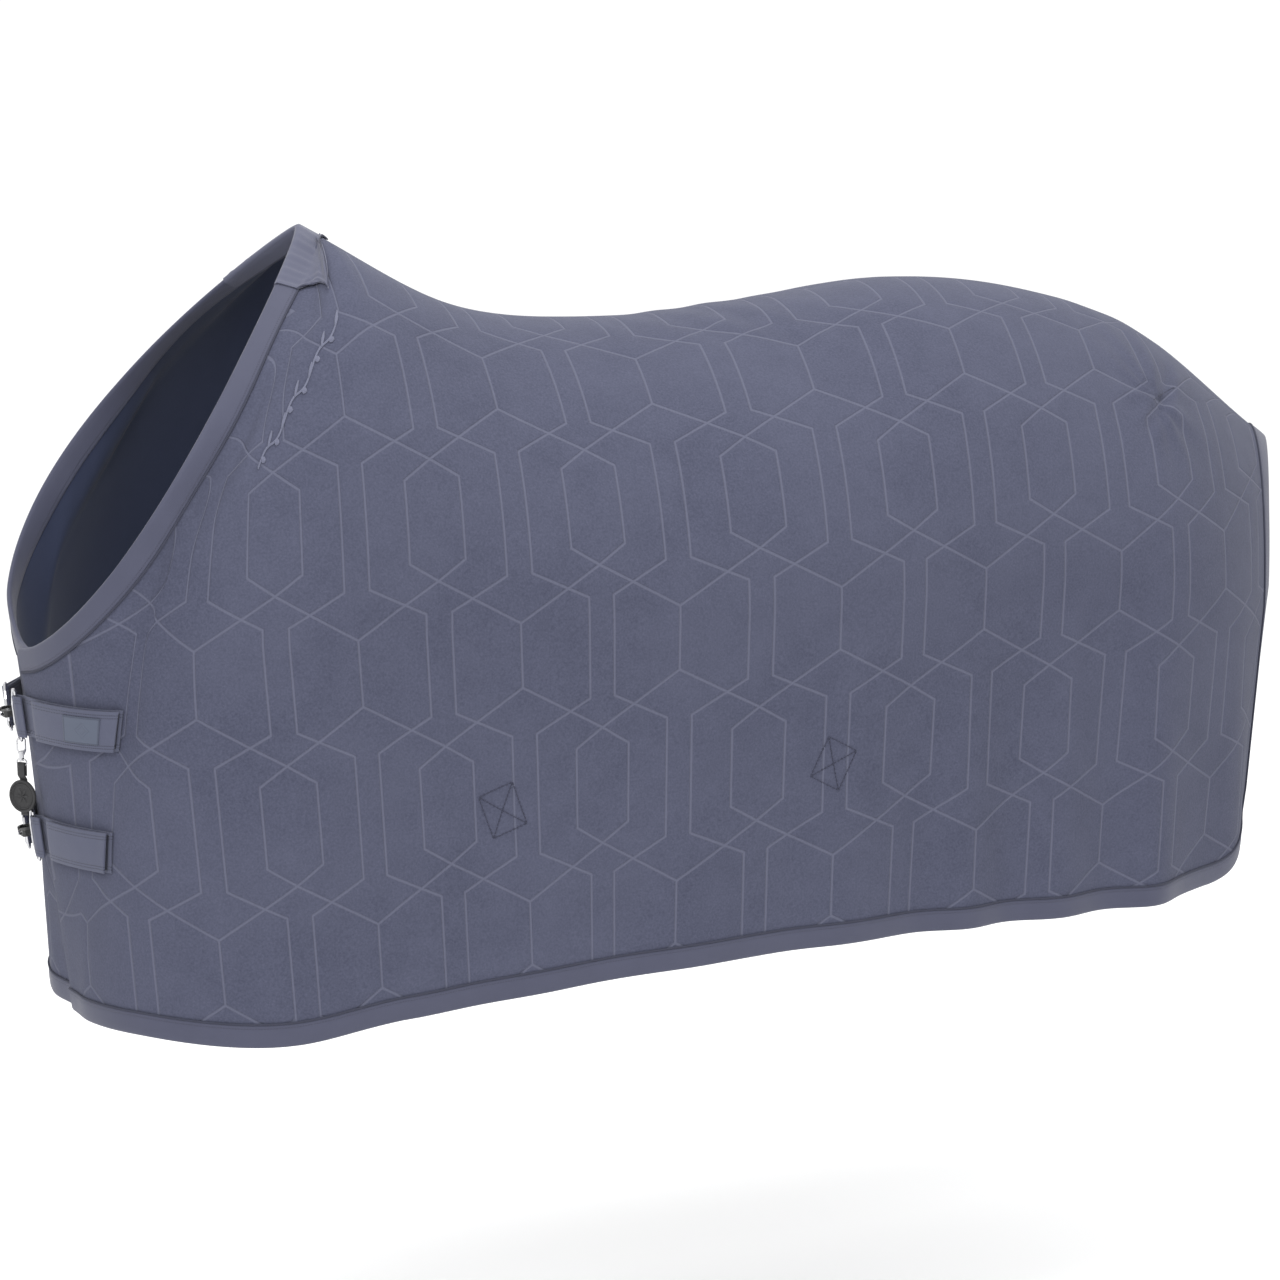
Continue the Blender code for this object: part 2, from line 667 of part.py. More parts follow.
class Closure:
    """Local frame of one chest closure: across (+Y), out from the chest, up along it."""

    def __init__(self, name):
        self.name = name
        self.height = CLOSURE_HEIGHTS[name]
        self.origin = cloth_at_height(-1, 0.0, self.height, 0.0)
        above = cloth_at_height(-1, 0.0, self.height + STRAP_WIDTH / 2, 0.0)
        below = cloth_at_height(-1, 0.0, self.height - STRAP_WIDTH / 2, 0.0)
        self.up = unit(above - below)
        self.out = unit(np.cross(self.up, Y_AXIS))
        if self.out[0] > 0:
            self.out = -self.out

    def at(self, across, out, up):
        return self.origin + Y_AXIS * across + self.out * out + self.up * up

    def flat(self, side, across, up, out):
        """A point on the cloth of a panel near this closure."""
        z = self.height + up * self.up[2]
        return cloth_at_height(side, across, z, out)

    def path_grids(self, flat_side, flat_places, flat_out, path, thick, half):
        """Grids of a strap that lies on the cloth and then follows a free path."""
        rises = (-half, -half / 2, 0.0, half / 2, half)
        lower = [[self.flat(flat_side, a, r, flat_out) for r in rises] for a in flat_places]
        upper = [[self.flat(flat_side, a, r, flat_out + thick) for r in rises] for a in flat_places]
        path = np.array(path)
        for i, (a, w) in enumerate(path):
            back, ahead = path[max(i - 1, 0)], path[min(i + 1, len(path) - 1)]
            along = unit(ahead - back)
            turn = np.array((along[1], -along[0])) * flat_side * thick / 2
            lower.append([self.at(a - turn[0], w - turn[1], r) for r in rises])
            upper.append([self.at(a + turn[0], w + turn[1], r) for r in rises])
        return lower, upper


def strap_levels():
    """Heights above the cloth of the strap's four layers."""
    base = FACE_THICK + FIT_GAP + CLOTH_CURVE
    loop_tape = base + STRAP_THICK + LAYER_GAP
    hook_tape = loop_tape + TAPE_THICK + LAYER_GAP
    flap = hook_tape + TAPE_THICK + LAYER_GAP
    return base, loop_tape, hook_tape, flap


def arc(centre, radius, first, last, steps):
    angles = [math.radians(first + (last - first) * i / steps) for i in range(steps + 1)]
    return [(centre[0] + radius * math.cos(a), centre[1] + radius * math.sin(a)) for a in angles]


def flat_layer(closure, name, start, end, half, level, thick, finish, origin=None):
    places = np.linspace(start, end, 7)
    rises = (-half, -half / 2, 0.0, half / 2, half)
    lower = [[closure.flat(-1, a, r, level) for r in rises] for a in places]
    upper = [[closure.flat(-1, a, r, level + thick) for r in rises] for a in places]
    return slab(name, lower, upper, finish, origin)


def flap_axis(closure):
    """A point on the crease where the strap's end peels off."""
    level = strap_levels()[3] + STRAP_THICK / 2
    return closure.at(CREASE_ACROSS, level + 0.0004, 0.0)


def chest_strap(closure):
    half = STRAP_WIDTH / 2
    base, loop_tape, hook_tape, flap = strap_levels()
    bend = WIRE_RADIUS + FIT_GAP + STRAP_THICK / 2
    middle = base + STRAP_THICK / 2
    rise = [(-0.008, middle), (0.001, middle + 0.0016), (0.007, middle + 0.0035)]
    turn = arc(LOOP_BAR, bend, -72, 110, 7)
    fall = [(0.0030, 0.0150), (-0.0030, 0.0126), (CREASE_ACROSS + 0.0022, flap + STRAP_THICK / 2 + 0.0008)]
    places = np.linspace(-STRAP_LENGTH - 0.006, -0.016, 7)
    grids = closure.path_grids(-1, places, base, rise + turn + fall, STRAP_THICK, half)
    slab(closure.name + "_strap_base", *grids, "webbing")
    flat_layer(closure, closure.name + "_loop_tape", -STRAP_LENGTH, -0.030, half - 0.004,
               loop_tape, TAPE_THICK, "dark_webbing")
    flat_layer(closure, closure.name + "_hook_tape", -STRAP_LENGTH + 0.002, -0.032, half - 0.006,
               hook_tape, TAPE_THICK, "dark_webbing", flap_axis(closure))
    flat_layer(closure, closure.name + "_strap_flap", -STRAP_LENGTH, CREASE_ACROSS - 0.0012, half,
               flap, STRAP_THICK, "webbing", flap_axis(closure))
    if closure.name == "upper":
        width, height = LABEL_SIZE
        flat_layer(closure, "label_patch", LABEL_PLACE - width / 2, LABEL_PLACE + width / 2, height / 2,
                   flap + STRAP_THICK + LAYER_GAP, TAPE_THICK, "label", flap_axis(closure))


def snap_eye(closure):
    """Strap eye with the stud that the snap swivels on."""
    across, out = LOOP_BAR
    front = across + 0.016
    corners = [(across, EYE_HALF - 0.002), (across + 0.002, EYE_HALF), (across + 0.007, EYE_HALF),
               (front - 0.002, 0.016), (front, 0.011)]
    outline = corners + [(a, -t) for a, t in reversed(corners)]
    points = [closure.at(a, out, t) for a, t in outline]
    ring = as_mesh(wire(closure.name + "_snap_eye", points, WIRE_RADIUS, "steel", cyclic=True,
                        origin=closure.at(across, out, 0.0)))
    stud = cylinder(closure.name + "_stud_tool", closure.at(front - 0.0005, out, 0.0),
                    closure.at(front + 0.0075, out, 0.0), STUD_RADIUS, "steel", 16)
    combine(ring, stud, "UNION")


def snap_hook(closure):
    """Snap body: a barrel with two bores and the hook that closes on the far ring."""
    across, out = LOOP_BAR
    start = across + 0.016 + WIRE_RADIUS + FIT_GAP
    centre = (SNAP_CENTRE, out)
    face = SNAP_CENTRE - HOOK_OUTER
    top = BOLT_OUT + BOLT_RADIUS + 0.0018
    outline = [(start, out - 0.0034), (face, out - HOOK_INNER)]
    outline += arc(centre, HOOK_OUTER, -138, 98, 16)
    outline += arc(centre, HOOK_INNER, 98, -150, 14)
    outline += [(face + 0.001, out - 0.0028), (face + 0.001, top), (start + 0.002, top),
                (start, top - 0.003)]

    def frame(a, b, c):
        return closure.at(a, b, c)

    body = plate(closure.name + "_snap_hook", outline, frame, -SNAP_HALF_THICK, SNAP_HALF_THICK,
                 "dark_metal", 0.0006, closure.at(SNAP_CENTRE, out, 0.0))
    bore = cylinder(closure.name + "_stud_bore", closure.at(start - 0.002, out, 0),
                    closure.at(across + 0.016 + 0.0079, out, 0), STUD_RADIUS + FIT_GAP, "steel", 16)
    combine(body, bore, "DIFFERENCE")
    bolt_bore = cylinder(closure.name + "_bolt_bore", closure.at(face - BOLT_TRAVEL - 0.0072, BOLT_OUT, 0),
                         closure.at(face + 0.003, BOLT_OUT, 0), BOLT_RADIUS + FIT_GAP, "steel", 16)
    combine(body, bolt_bore, "DIFFERENCE")
    knob = face - 0.0030
    slot = [(knob - BOLT_TRAVEL - 0.0016, BOLT_OUT), (knob + 0.0016, BOLT_OUT),
            (knob + 0.0016, top + 0.002), (knob - BOLT_TRAVEL - 0.0016, top + 0.002)]
    cutter = plate(closure.name + "_knob_slot", slot, frame, -0.0013, 0.0013, "steel")
    combine(body, cutter, "DIFFERENCE")


def snap_bolt(closure):
    """Spring bolt with its thumb knob, shut against the hook's nose."""
    _, out = LOOP_BAR
    face = SNAP_CENTRE - HOOK_OUTER
    top = BOLT_OUT + BOLT_RADIUS + 0.0018
    nose = SNAP_CENTRE + (BOLT_OUT - out) * math.cos(math.radians(98)) - 0.0006
    knob = face - 0.0030
    bolt = cylinder(closure.name + "_snap_bolt", closure.at(face - 0.0068, BOLT_OUT, 0),
                    closure.at(nose, BOLT_OUT, 0), BOLT_RADIUS, "steel", 16,
                    closure.at(face, BOLT_OUT, 0.0))
    stem = cylinder(closure.name + "_knob_stem", closure.at(knob, BOLT_OUT, 0),
                    closure.at(knob, top + 0.0012, 0), 0.0010, "steel", 12)
    head = cylinder(closure.name + "_knob_head", closure.at(knob, top + 0.0005, 0),
                    closure.at(knob, top + 0.0024, 0), 0.0026, "steel", 20)
    combine(bolt, stem, "UNION")
    combine(bolt, head, "UNION")


def ring_plane(reach):
    """Across and out of a point REACH from the far ring's straight bar, towards the snap."""
    _, out = LOOP_BAR
    start, end = np.array(RING_BAR), np.array((SNAP_CENTRE, out))
    return start + unit(end - start) * reach


def far_ring(closure):
    """D-ring held by the right panel's tab."""
    _, out = LOOP_BAR
    reach = math.dist(RING_BAR, (SNAP_CENTRE, out))
    half = STRAP_WIDTH / 2 + 0.0035
    corners = [(0.0, half - 0.002), (0.002, half), (reach * 0.45, half - 0.0005),
               (reach * 0.80, half - 0.007), (reach * 0.96, half - 0.015), (reach, 0.006)]
    outline = corners + [(r, -t) for r, t in reversed(corners)]
    points = [closure.at(*ring_plane(r), t) for r, t in outline]
    wire(closure.name + "_d_ring", points, WIRE_RADIUS, "steel", cyclic=True,
         origin=closure.at(*RING_BAR, 0.0))


def far_tab(closure):
    """Webbing tab folded round the far ring's bar and sewn to the right panel."""
    base = FACE_THICK + FIT_GAP + TAB_RISE[closure.name]
    half = STRAP_WIDTH / 2
    bend = WIRE_RADIUS + FIT_GAP + STRAP_THICK / 2
    turn = arc(RING_BAR, bend, -112, -295, 8)
    places = list(np.linspace(0.150, 0.108, 8))
    lower, upper = closure.path_grids(1, places, base, turn, STRAP_THICK, half)
    rises = (-half, -half / 2, 0.0, half / 2, half)
    level = base + STRAP_THICK + FIT_GAP
    for a in reversed(places):
        lower.append([closure.flat(1, a, r, level + STRAP_THICK) for r in rises])
        upper.append([closure.flat(1, a, r, level) for r in rises])
    slab(closure.name + "_ring_tab", lower, upper, "webbing")


def build_closures():
    for name in CLOSURE_HEIGHTS:
        closure = Closure(name)
        chest_strap(closure)
        snap_eye(closure)
        snap_hook(closure)
        snap_bolt(closure)
        far_ring(closure)
        far_tab(closure)


# ================================================================ the charm
class Charm:
    """Local frame of the hanging charm: its face turned a little to the left."""

    def __init__(self):
        closure = Closure("upper")
        self.hang = closure.at(CHARM_ACROSS, LOOP_BAR[1], -EYE_HALF)
        self.wide = np.array((-math.sin(CHARM_TURN), math.cos(CHARM_TURN), 0.0))
        self.face = np.array((-math.cos(CHARM_TURN), -math.sin(CHARM_TURN), 0.0))

    def clip(self, a, b, c):
        """Clip frame: a out from the chest, b up, c across."""
        return self.hang + np.array((-a, c, b))

    def at(self, wide, down, face):
        return self.hang + self.wide * wide + self.face * face + np.array((0.0, 0.0, -down))


CLIP_INNER = 0.0042
CLIP_WALL = 0.0016
CLIP_DROP = 0.0115          # from the eye's wire to the bottom of the clip's opening
CLIP_TAIL = 0.0235          # from the eye's wire to the hole for the charm's ring
CLIP_HOLE = 0.0015
RING_WIRE = 0.0008
RING_DROP = 0.0290
STRAP_END = 0.0930
MEDAL_DROP = 0.0690


def charm_clip(charm):
    seat = -(CLIP_INNER - WIRE_RADIUS - FIT_GAP)
    outer = CLIP_INNER + CLIP_WALL
    centre = (0.0, seat)
    foot = seat - CLIP_DROP
    right = arc(centre, CLIP_INNER, -5, 180, 9)
    body = ([(-outer, foot), (-outer, seat)] + arc(centre, outer, 170, 0, 9) + [(outer, seat - 0.0015)]
            + [(CLIP_INNER, seat - 0.0015)] + right + [(-CLIP_INNER, foot + 0.002), (-0.0020, foot)]
            + [(0.0036, foot), (0.0042, foot - 0.0025), (0.0028, foot - 0.0060)]
            + [(0.0028, -CLIP_TAIL - 0.0026), (-0.0028, -CLIP_TAIL - 0.0026), (-0.0028, foot - 0.0060)])
    made = plate("charm_clip", body, charm.clip, -0.0016, 0.0016, "steel", 0.0003,
                 charm.clip(0.0, 0.0, 0.0))
    hole = cylinder("charm_clip_hole", charm.at(-0.01, CLIP_TAIL, 0.0), charm.at(0.01, CLIP_TAIL, 0.0),
                    CLIP_HOLE, "steel", 16)
    combine(made, hole, "DIFFERENCE")


def charm_gate(charm):
    seat = -(CLIP_INNER - WIRE_RADIUS - FIT_GAP)
    foot = seat - CLIP_DROP
    outer = CLIP_INNER + CLIP_WALL
    outline = [(CLIP_INNER + 0.0001, seat - 0.0018), (outer, seat - 0.0018), (outer, foot + 0.0008),
               (outer - 0.0008, foot + 0.0003), (CLIP_INNER - 0.0004, foot + 0.0003)]
    plate("charm_gate", outline, charm.clip, -0.0014, 0.0014, "steel", 0.0002,
          charm.clip(outer - 0.0008, foot + 0.0008, 0.0))


def charm_ring(charm):
    half, rise = 0.0075, 0.0028
    top = CLIP_TAIL + CLIP_HOLE - RING_WIRE - FIT_GAP
    corners = [(half, top + rise * 0.8), (half, top + rise * 1.8), (half - 0.0015, RING_DROP + 0.0012)]
    corners = [(half - 0.002, top + 0.0001)] + corners
    outline = corners + [(-a, b) for a, b in reversed(corners)]
    points = [charm.at(a, b, 0.0) for a, b in outline]
    wire("charm_ring", points, RING_WIRE, "steel", cyclic=True, origin=charm.at(0, top, 0))


def charm_strap(charm):
    """Leather strap folded over the ring's lower bar, with the medallion on its face."""
    half = CHARM_STRAP_WIDTH / 2
    bend = RING_WIRE + FIT_GAP + CHARM_STRAP_THICK / 2
    bar = RING_DROP + 0.0012
    path = [(-bend * 0.95, bar + 0.014), (-bend, bar + 0.004)]
    path += [(-bend * math.cos(math.radians(t)), bar - bend * math.sin(math.radians(t)))
             for t in (0, 30, 60, 90, 120, 150, 180)]
    path += [(bend, bar + 0.004), (bend * 0.9, bar + 0.0130), (TAG_FACE, bar + 0.0185), (TAG_FACE, STRAP_END)]
    path = np.array(path)
    lower, upper = [], []
    for i, (f, d) in enumerate(path):
        along = unit(path[min(i + 1, len(path) - 1)] - path[max(i - 1, 0)])
        turn = np.array((-along[1], along[0])) * CHARM_STRAP_THICK / 2
        lower.append([charm.at(w, d - turn[1], f - turn[0]) for w in (-half, half)])
        upper.append([charm.at(w, d + turn[1], f + turn[0]) for w in (-half, half)])
    slab("charm_strap", lower, upper, "leather")


def medallion(charm):
    """Round leather medallion with a raised rim."""
    back = TAG_FACE + CHARM_STRAP_THICK / 2 + FIT_GAP
    profile = [(0.0, back), (MEDAL_RADIUS, back), (MEDAL_RADIUS, back + MEDAL_THICK * 0.8),
               (MEDAL_RADIUS - 0.0010, back + MEDAL_THICK), (MEDAL_RADIUS - 0.0026, back + MEDAL_THICK),
               (MEDAL_RADIUS - 0.0036, back + MEDAL_THICK * 0.65), (0.0, back + MEDAL_THICK * 0.65)]
    sides = 32
    bm = bmesh.new()
    rings = []
    for radius, face in profile:
        if radius == 0.0:
            rings.append([bm.verts.new(charm.at(0.0, MEDAL_DROP, face))])
            continue
        rings.append([bm.verts.new(charm.at(radius * math.cos(2 * math.pi * i / sides),
                                            MEDAL_DROP + radius * math.sin(2 * math.pi * i / sides), face))
                      for i in range(sides)])
    for first, second in zip(rings, rings[1:]):
        for i in range(sides):
            j = (i + 1) % sides
            corners = [first[i % len(first)], first[j % len(first)], second[j % len(second)],
                       second[i % len(second)]]
            bm.faces.new(list(dict.fromkeys(corners)))
    finish_mesh("charm_medallion", bm, "leather", charm.at(0.0, MEDAL_DROP, back))


def build_charm():
    charm = Charm()
    charm_clip(charm)
    charm_gate(charm)
    charm_ring(charm)
    charm_strap(charm)
    medallion(charm)


# ================================================================ the surcingles
class Surcingle:
    """One belly strap: from a patch on the left panel, under the belly, to the right panel."""

    def __init__(self, name, near, far, drop):
        self.name = name
        self.near, self.far = near, far
        self.drop = drop

    def side_place(self, side, patch, along, sideways=0.0):
        """Point under the lining, ALONG metres down and SIDEWAYS across from a patch's middle."""
        x, z, lean = patch
        px = x + along * math.sin(lean) + sideways * math.cos(lean)
        pz = z - along * math.cos(lean) + sideways * math.sin(lean)
        s = 1.0 + (px - SHOULDER_X) / (REAR_X - SHOULDER_X)
        for _ in range(3):
            points, lengths = fall_line(s)
            reach = float(np.interp(-pz, -points[:, 2], lengths))
            s += (px - fall_at(s, reach / lengths[-1])[0]) / (REAR_X - SHOULDER_X)
        depth = FIT_GAP * 2 + LINING_THICK + LINING_CURVE + SURCINGLE_THICK / 2
        return cloth(side, s, reach / lengths[-1], -depth)

    def belly(self, t):
        """The free run under the belly, t from 0 at the left patch to 1 at the right one."""
        start = self.side_place(-1, self.near, PATCH_LENGTH * 0.5 + 0.012)
        end = self.side_place(1, self.far, PATCH_LENGTH * 0.5 + 0.012)
        ease = 0.5 * t + 0.25 * (1 - math.cos(math.pi * t))
        x = start[0] + (end[0] - start[0]) * ease
        swing = math.cos(math.pi * t)
        y = (start[1] + BELLY_INSET * math.sin(math.pi * t)) * swing if t < 0.5 else (
            -(end[1] - BELLY_INSET * math.sin(math.pi * t)) * swing)
        z = start[2] + (end[2] - start[2]) * t - self.drop * math.sin(math.pi * t)
        out = np.array((0.0, -math.cos(math.pi * t), -math.sin(math.pi * t)))
        return np.array((x, y, z)), out

    def frame(self, t):
        """Middle, along, across and outward directions at t."""
        here, out = self.belly(t)
        along = unit(self.belly(min(t + 0.01, 1.0))[0] - self.belly(max(t - 0.01, 0.0))[0])
        across = unit(np.cross(along, out))
        out = unit(np.cross(across, along))
        if out[2] > 0.2:
            out = -out
        return here, along, across, out

    def ribbon(self, name, places, thick, width, finish="dark_webbing"):
        """Webbing through (middle, across, out) places."""
        lower, upper = [], []
        for middle, across, out in places:
            lower.append([middle + across * w - out * thick / 2 for w in (-width / 2, width / 2)])
            upper.append([middle + across * w + out * thick / 2 for w in (-width / 2, width / 2)])
        return slab(name, lower, upper, finish)

    def patch_places(self, side, patch):
        places = []
        for along in (-PATCH_LENGTH / 2, 0.0, PATCH_LENGTH / 2):
            place = self.side_place(side, patch, along)
            half = SURCINGLE_WIDTH / 2
            across = unit(self.side_place(side, patch, along, half)
                          - self.side_place(side, patch, along, -half))
            down = self.side_place(side, patch, along + half) - place
            out = unit(np.cross(down, across)) * -side
            if out[1] * side < 0:
                out = -out
            places.append((place, -across, out))
        return places

    def run(self, link, first, last, steps, shift=0.0):
        places = []
        for t in np.linspace(first, last, steps):
            here, _along, across, out = self.frame(float(t))
            here = here + link.pull(float(t))
            ease = min(1.0, float(min(t, 1.0 - t)) / RUN_EASE)
            places.append((here + out * shift * ease, across, out))
        return places


LINK_PLACE = 0.145          # middle of the hook and eye along the belly run
LINK_HALF = 0.032           # from there to each strap's loop
LINK_FADE = 0.09            # share of the run that the straight link draws with it


class Link:
    """The rigid hook-and-eye joining a surcingle's two straps."""

    def __init__(self, surcingle):
        self.here, self.along, self.across, self.out = surcingle.frame(LINK_PLACE)
        near, far = surcingle.belly(LINK_PLACE - 0.02)[0], surcingle.belly(LINK_PLACE + 0.02)[0]
        reach = LINK_HALF / float(np.linalg.norm(far - near)) * 0.04
        self.start, self.end = LINK_PLACE - reach, LINK_PLACE + reach
        self.start_pull = self.at(-LINK_HALF, 0, 0) - surcingle.belly(self.start)[0]
        self.end_pull = self.at(LINK_HALF, 0, 0) - surcingle.belly(self.end)[0]

    def at(self, along, across, out):
        return self.here + self.along * along + self.across * across + self.out * out

    def pull(self, t):
        """How far the straight link draws the strap off its curve at t."""
        if t < LINK_PLACE:
            return self.start_pull * max(0.0, 1 - (self.start - t) / LINK_FADE)
        return self.end_pull * max(0.0, 1 - (t - self.end) / LINK_FADE)

    def loop(self, towards):
        """Places of a strap's turn round its bar, opening towards +1 or -1 along the strap."""
        bend = WIRE_RADIUS + FIT_GAP + SURCINGLE_THICK / 2
        places = []
        for degrees in (90, 60, 30, 0, -30, -60, -90):
            angle = math.radians(degrees)
            turn = self.along * towards * math.cos(angle) + self.out * math.sin(angle)
            places.append((self.at(-LINK_HALF * towards, 0, 0) + turn * bend, self.across, turn))
        return places


def rounded_ring(name, middle, along, across, out, length, width, radius, finish, origin=None):
    """Rectangular wire ring with clipped corners."""
    a, b, cut = length / 2, width / 2, radius
    outline = [(-a, -b + cut), (-a + cut, -b), (a - cut, -b), (a, -b + cut), (a, b - cut), (a - cut, b),
               (-a + cut, b), (-a, b - cut)]
    points = [middle + along * p + across * q for p, q in outline]
    return wire(name, points, WIRE_RADIUS, finish, cyclic=True, origin=origin)


def surcingle_straps(surcingle, link):
    """Left strap round the eye; right strap with its fold round the hook."""
    width = SURCINGLE_WIDTH
    bend = WIRE_RADIUS + FIT_GAP + SURCINGLE_THICK / 2
    near = surcingle.patch_places(-1, surcingle.near)
    near += surcingle.run(link, 0.0, link.start - 0.012, 4, bend)
    near += link.loop(1)
    tail = surcingle.run(link, link.start - 0.012, link.start - 0.055, 3, -bend)
    near += [(p, a, -o) for p, a, o in tail]
    surcingle.ribbon(surcingle.name + "_left_strap", near, SURCINGLE_THICK, width)
    fold = surcingle.run(link, SLIDER_PLACE + 0.012, link.end + 0.012, 7, -bend)
    far = [(p, a, -o) for p, a, o in fold]
    far += list(reversed(link.loop(-1)))
    far += surcingle.run(link, link.end + 0.012, 1.0, 20, bend)
    far += list(reversed(surcingle.patch_places(1, surcingle.far)))
    surcingle.ribbon(surcingle.name + "_right_strap", far, SURCINGLE_THICK, width)


def surcingle_eye(surcingle, link):
    rounded_ring(surcingle.name + "_eye", link.at(-LINK_HALF / 2, 0, 0), link.along, link.across,
                 link.out, LINK_HALF, LINK_WIDTH, 0.004, "steel")


def surcingle_hook(surcingle, link):
    """Flat hook: a ring in the right strap's loop with a tongue bent round the eye."""
    ring_length = LINK_HALF * 0.56
    middle = link.at(LINK_HALF - ring_length / 2, 0, 0)
    ring = as_mesh(rounded_ring(surcingle.name + "_hook", middle, link.along, link.across, link.out,
                                ring_length, LINK_WIDTH, 0.004, "steel", link.here))
    half = TONGUE_THICK / 2
    bend = WIRE_RADIUS + FIT_GAP + half
    path = [(ring_length - 0.0005, 0.0), (LINK_HALF * 0.75, -0.0005), (LINK_HALF - 0.004, -bend * 0.9)]
    path += [(LINK_HALF + bend * math.sin(math.radians(a)), -bend * math.cos(math.radians(a)))
             for a in (0, 30, 60, 90, 120, 150, 180)]
    path += [(LINK_HALF - 0.005, bend)]
    path = np.array(path)
    lower, upper = [], []
    for i, (a, b) in enumerate(path):
        direction = unit(path[min(i + 1, len(path) - 1)] - path[max(i - 1, 0)])
        turn = np.array((-direction[1], direction[0])) * half
        lower.append([link.at(LINK_HALF - a + turn[0], w, b - turn[1]) for w in (-0.011, 0.011)])
        upper.append([link.at(LINK_HALF - a - turn[0], w, b + turn[1]) for w in (-0.011, 0.011)])
    tongue = slab(surcingle.name + "_tongue_tool", lower, upper, "steel")
    combine(ring, tongue, "UNION")


def surcingle_slider(surcingle):
    """Adjuster frame round both layers of the right strap."""
    here, along, across, out = surcingle.frame(SLIDER_PLACE)
    bend = WIRE_RADIUS + FIT_GAP + SURCINGLE_THICK / 2
    high = bend + SURCINGLE_THICK / 2 + SLIDER_CLEAR + 0.0004
    wide = SURCINGLE_WIDTH / 2 + SLIDER_CLEAR
    wall = 0.0020
    outline = [(-wide - wall, -high - wall), (wide + wall, -high - wall), (wide + wall, high + wall),
               (-wide - wall, high + wall)]
    hole = [(-wide, -high), (wide, -high), (wide, high), (-wide, high)]

    def frame(a, b, c):
        return here + across * a + out * b + along * c

    body = plate(surcingle.name + "_slider", outline, frame, -0.0040, 0.0040, "steel", 0.0006, here)
    cutter = plate(surcingle.name + "_slider_window", hole, frame, -0.010, 0.010, "steel")
    combine(body, cutter, "DIFFERENCE")


def build_surcingles():
    pairs = [("front_surcingle", FRONT_PATCH, REAR_PATCH, BELLY_DROP),
             ("rear_surcingle", REAR_PATCH, FRONT_PATCH, BELLY_DROP + CROSSING_GAP)]
    for name, near, far, drop in pairs:
        surcingle = Surcingle(name, near, far, drop)
        link = Link(surcingle)
        surcingle_straps(surcingle, link)
        surcingle_eye(surcingle, link)
        surcingle_hook(surcingle, link)
        surcingle_slider(surcingle)


def main():
    clear_scene()
    build_shell()
    build_closures()
    build_charm()
    build_surcingles()


main()
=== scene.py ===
"""Looks of an embossed fleece horse rug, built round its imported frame.

Every piece is placed in the frame's own metres: +X runs to the tail, -Y is the horse's left
side and +Z is up, with the withers at the origin.
"""

import json
import logging
import math
from dataclasses import dataclass, field
from enum import Enum

import bmesh
import bpy
import numpy as np
from mathutils import Matrix, Vector

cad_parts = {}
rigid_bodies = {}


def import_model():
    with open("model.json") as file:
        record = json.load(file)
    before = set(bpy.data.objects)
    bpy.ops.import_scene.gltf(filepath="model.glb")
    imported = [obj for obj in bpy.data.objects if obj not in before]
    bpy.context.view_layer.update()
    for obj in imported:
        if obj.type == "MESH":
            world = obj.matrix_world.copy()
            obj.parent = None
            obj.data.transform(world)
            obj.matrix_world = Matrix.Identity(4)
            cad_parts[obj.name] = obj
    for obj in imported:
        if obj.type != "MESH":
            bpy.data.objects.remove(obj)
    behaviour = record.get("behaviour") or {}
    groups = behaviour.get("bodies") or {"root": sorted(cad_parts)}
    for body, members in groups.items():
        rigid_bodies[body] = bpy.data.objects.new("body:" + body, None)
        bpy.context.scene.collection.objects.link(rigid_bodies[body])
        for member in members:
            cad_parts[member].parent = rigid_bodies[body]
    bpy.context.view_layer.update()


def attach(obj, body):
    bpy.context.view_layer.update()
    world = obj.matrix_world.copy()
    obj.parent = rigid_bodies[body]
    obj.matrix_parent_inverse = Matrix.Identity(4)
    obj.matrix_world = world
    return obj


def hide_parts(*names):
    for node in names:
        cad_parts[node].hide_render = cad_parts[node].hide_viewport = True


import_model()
LOG = logging.getLogger("horse_rug")


class Side(Enum):
    """The horse's two sides, as the sign of Y."""

    LEFT = -1
    RIGHT = 1


# ================================================================ the form of the rug
@dataclass(frozen=True)
class Cut:
    """Sizes of the cut and of the body it hangs on, in metres."""

    back_length: float = 1.55
    tail_height: float = -0.337
    chest_x: float = -0.330
    shoulder_half: float = 0.273
    barrel_half: float = 0.315
    barrel_x: float = 0.60
    haunch_x: float = 1.10
    rear_x: float = 1.43
    rear_half: float = 0.152
    chest_round: float = 2.53
    neck_front: tuple[float, float] = (-0.367, -0.492)
    neck_bend: tuple[float, float] = (-0.264, -0.270)
    neck_half: float = 0.195
    neck_swell: float = 0.753
    neck_ease: float = 0.6
    chest_straight: float = 0.40
    shoulder_drop: float = 0.42
    hem_front_x: float = -0.315
    hem_corner: float = 0.17
    rear_lean: float = 0.030
    band: float = 0.028
    face: float = 0.0020
    lining: float = 0.0015
    underlap: float = 0.12
    underlap_depth: float = 0.0080
    underlap_blend: float = 0.14
    arc_points: int = 33
    straight_points: int = 9
    fade_start: float = 0.84
    probe: float = 0.004


BACK_LINE = ((0.0, 0.0), (0.20, -0.100), (0.42, -0.124), (0.65, -0.108), (0.88, -0.084),
             (1.08, -0.103), (1.25, -0.150))
HEM_LINE = ((0.0, -0.945), (0.3, -0.940), (0.8, -0.949), (1.3, -0.912), (1.8, -0.925), (2.0, -0.925))
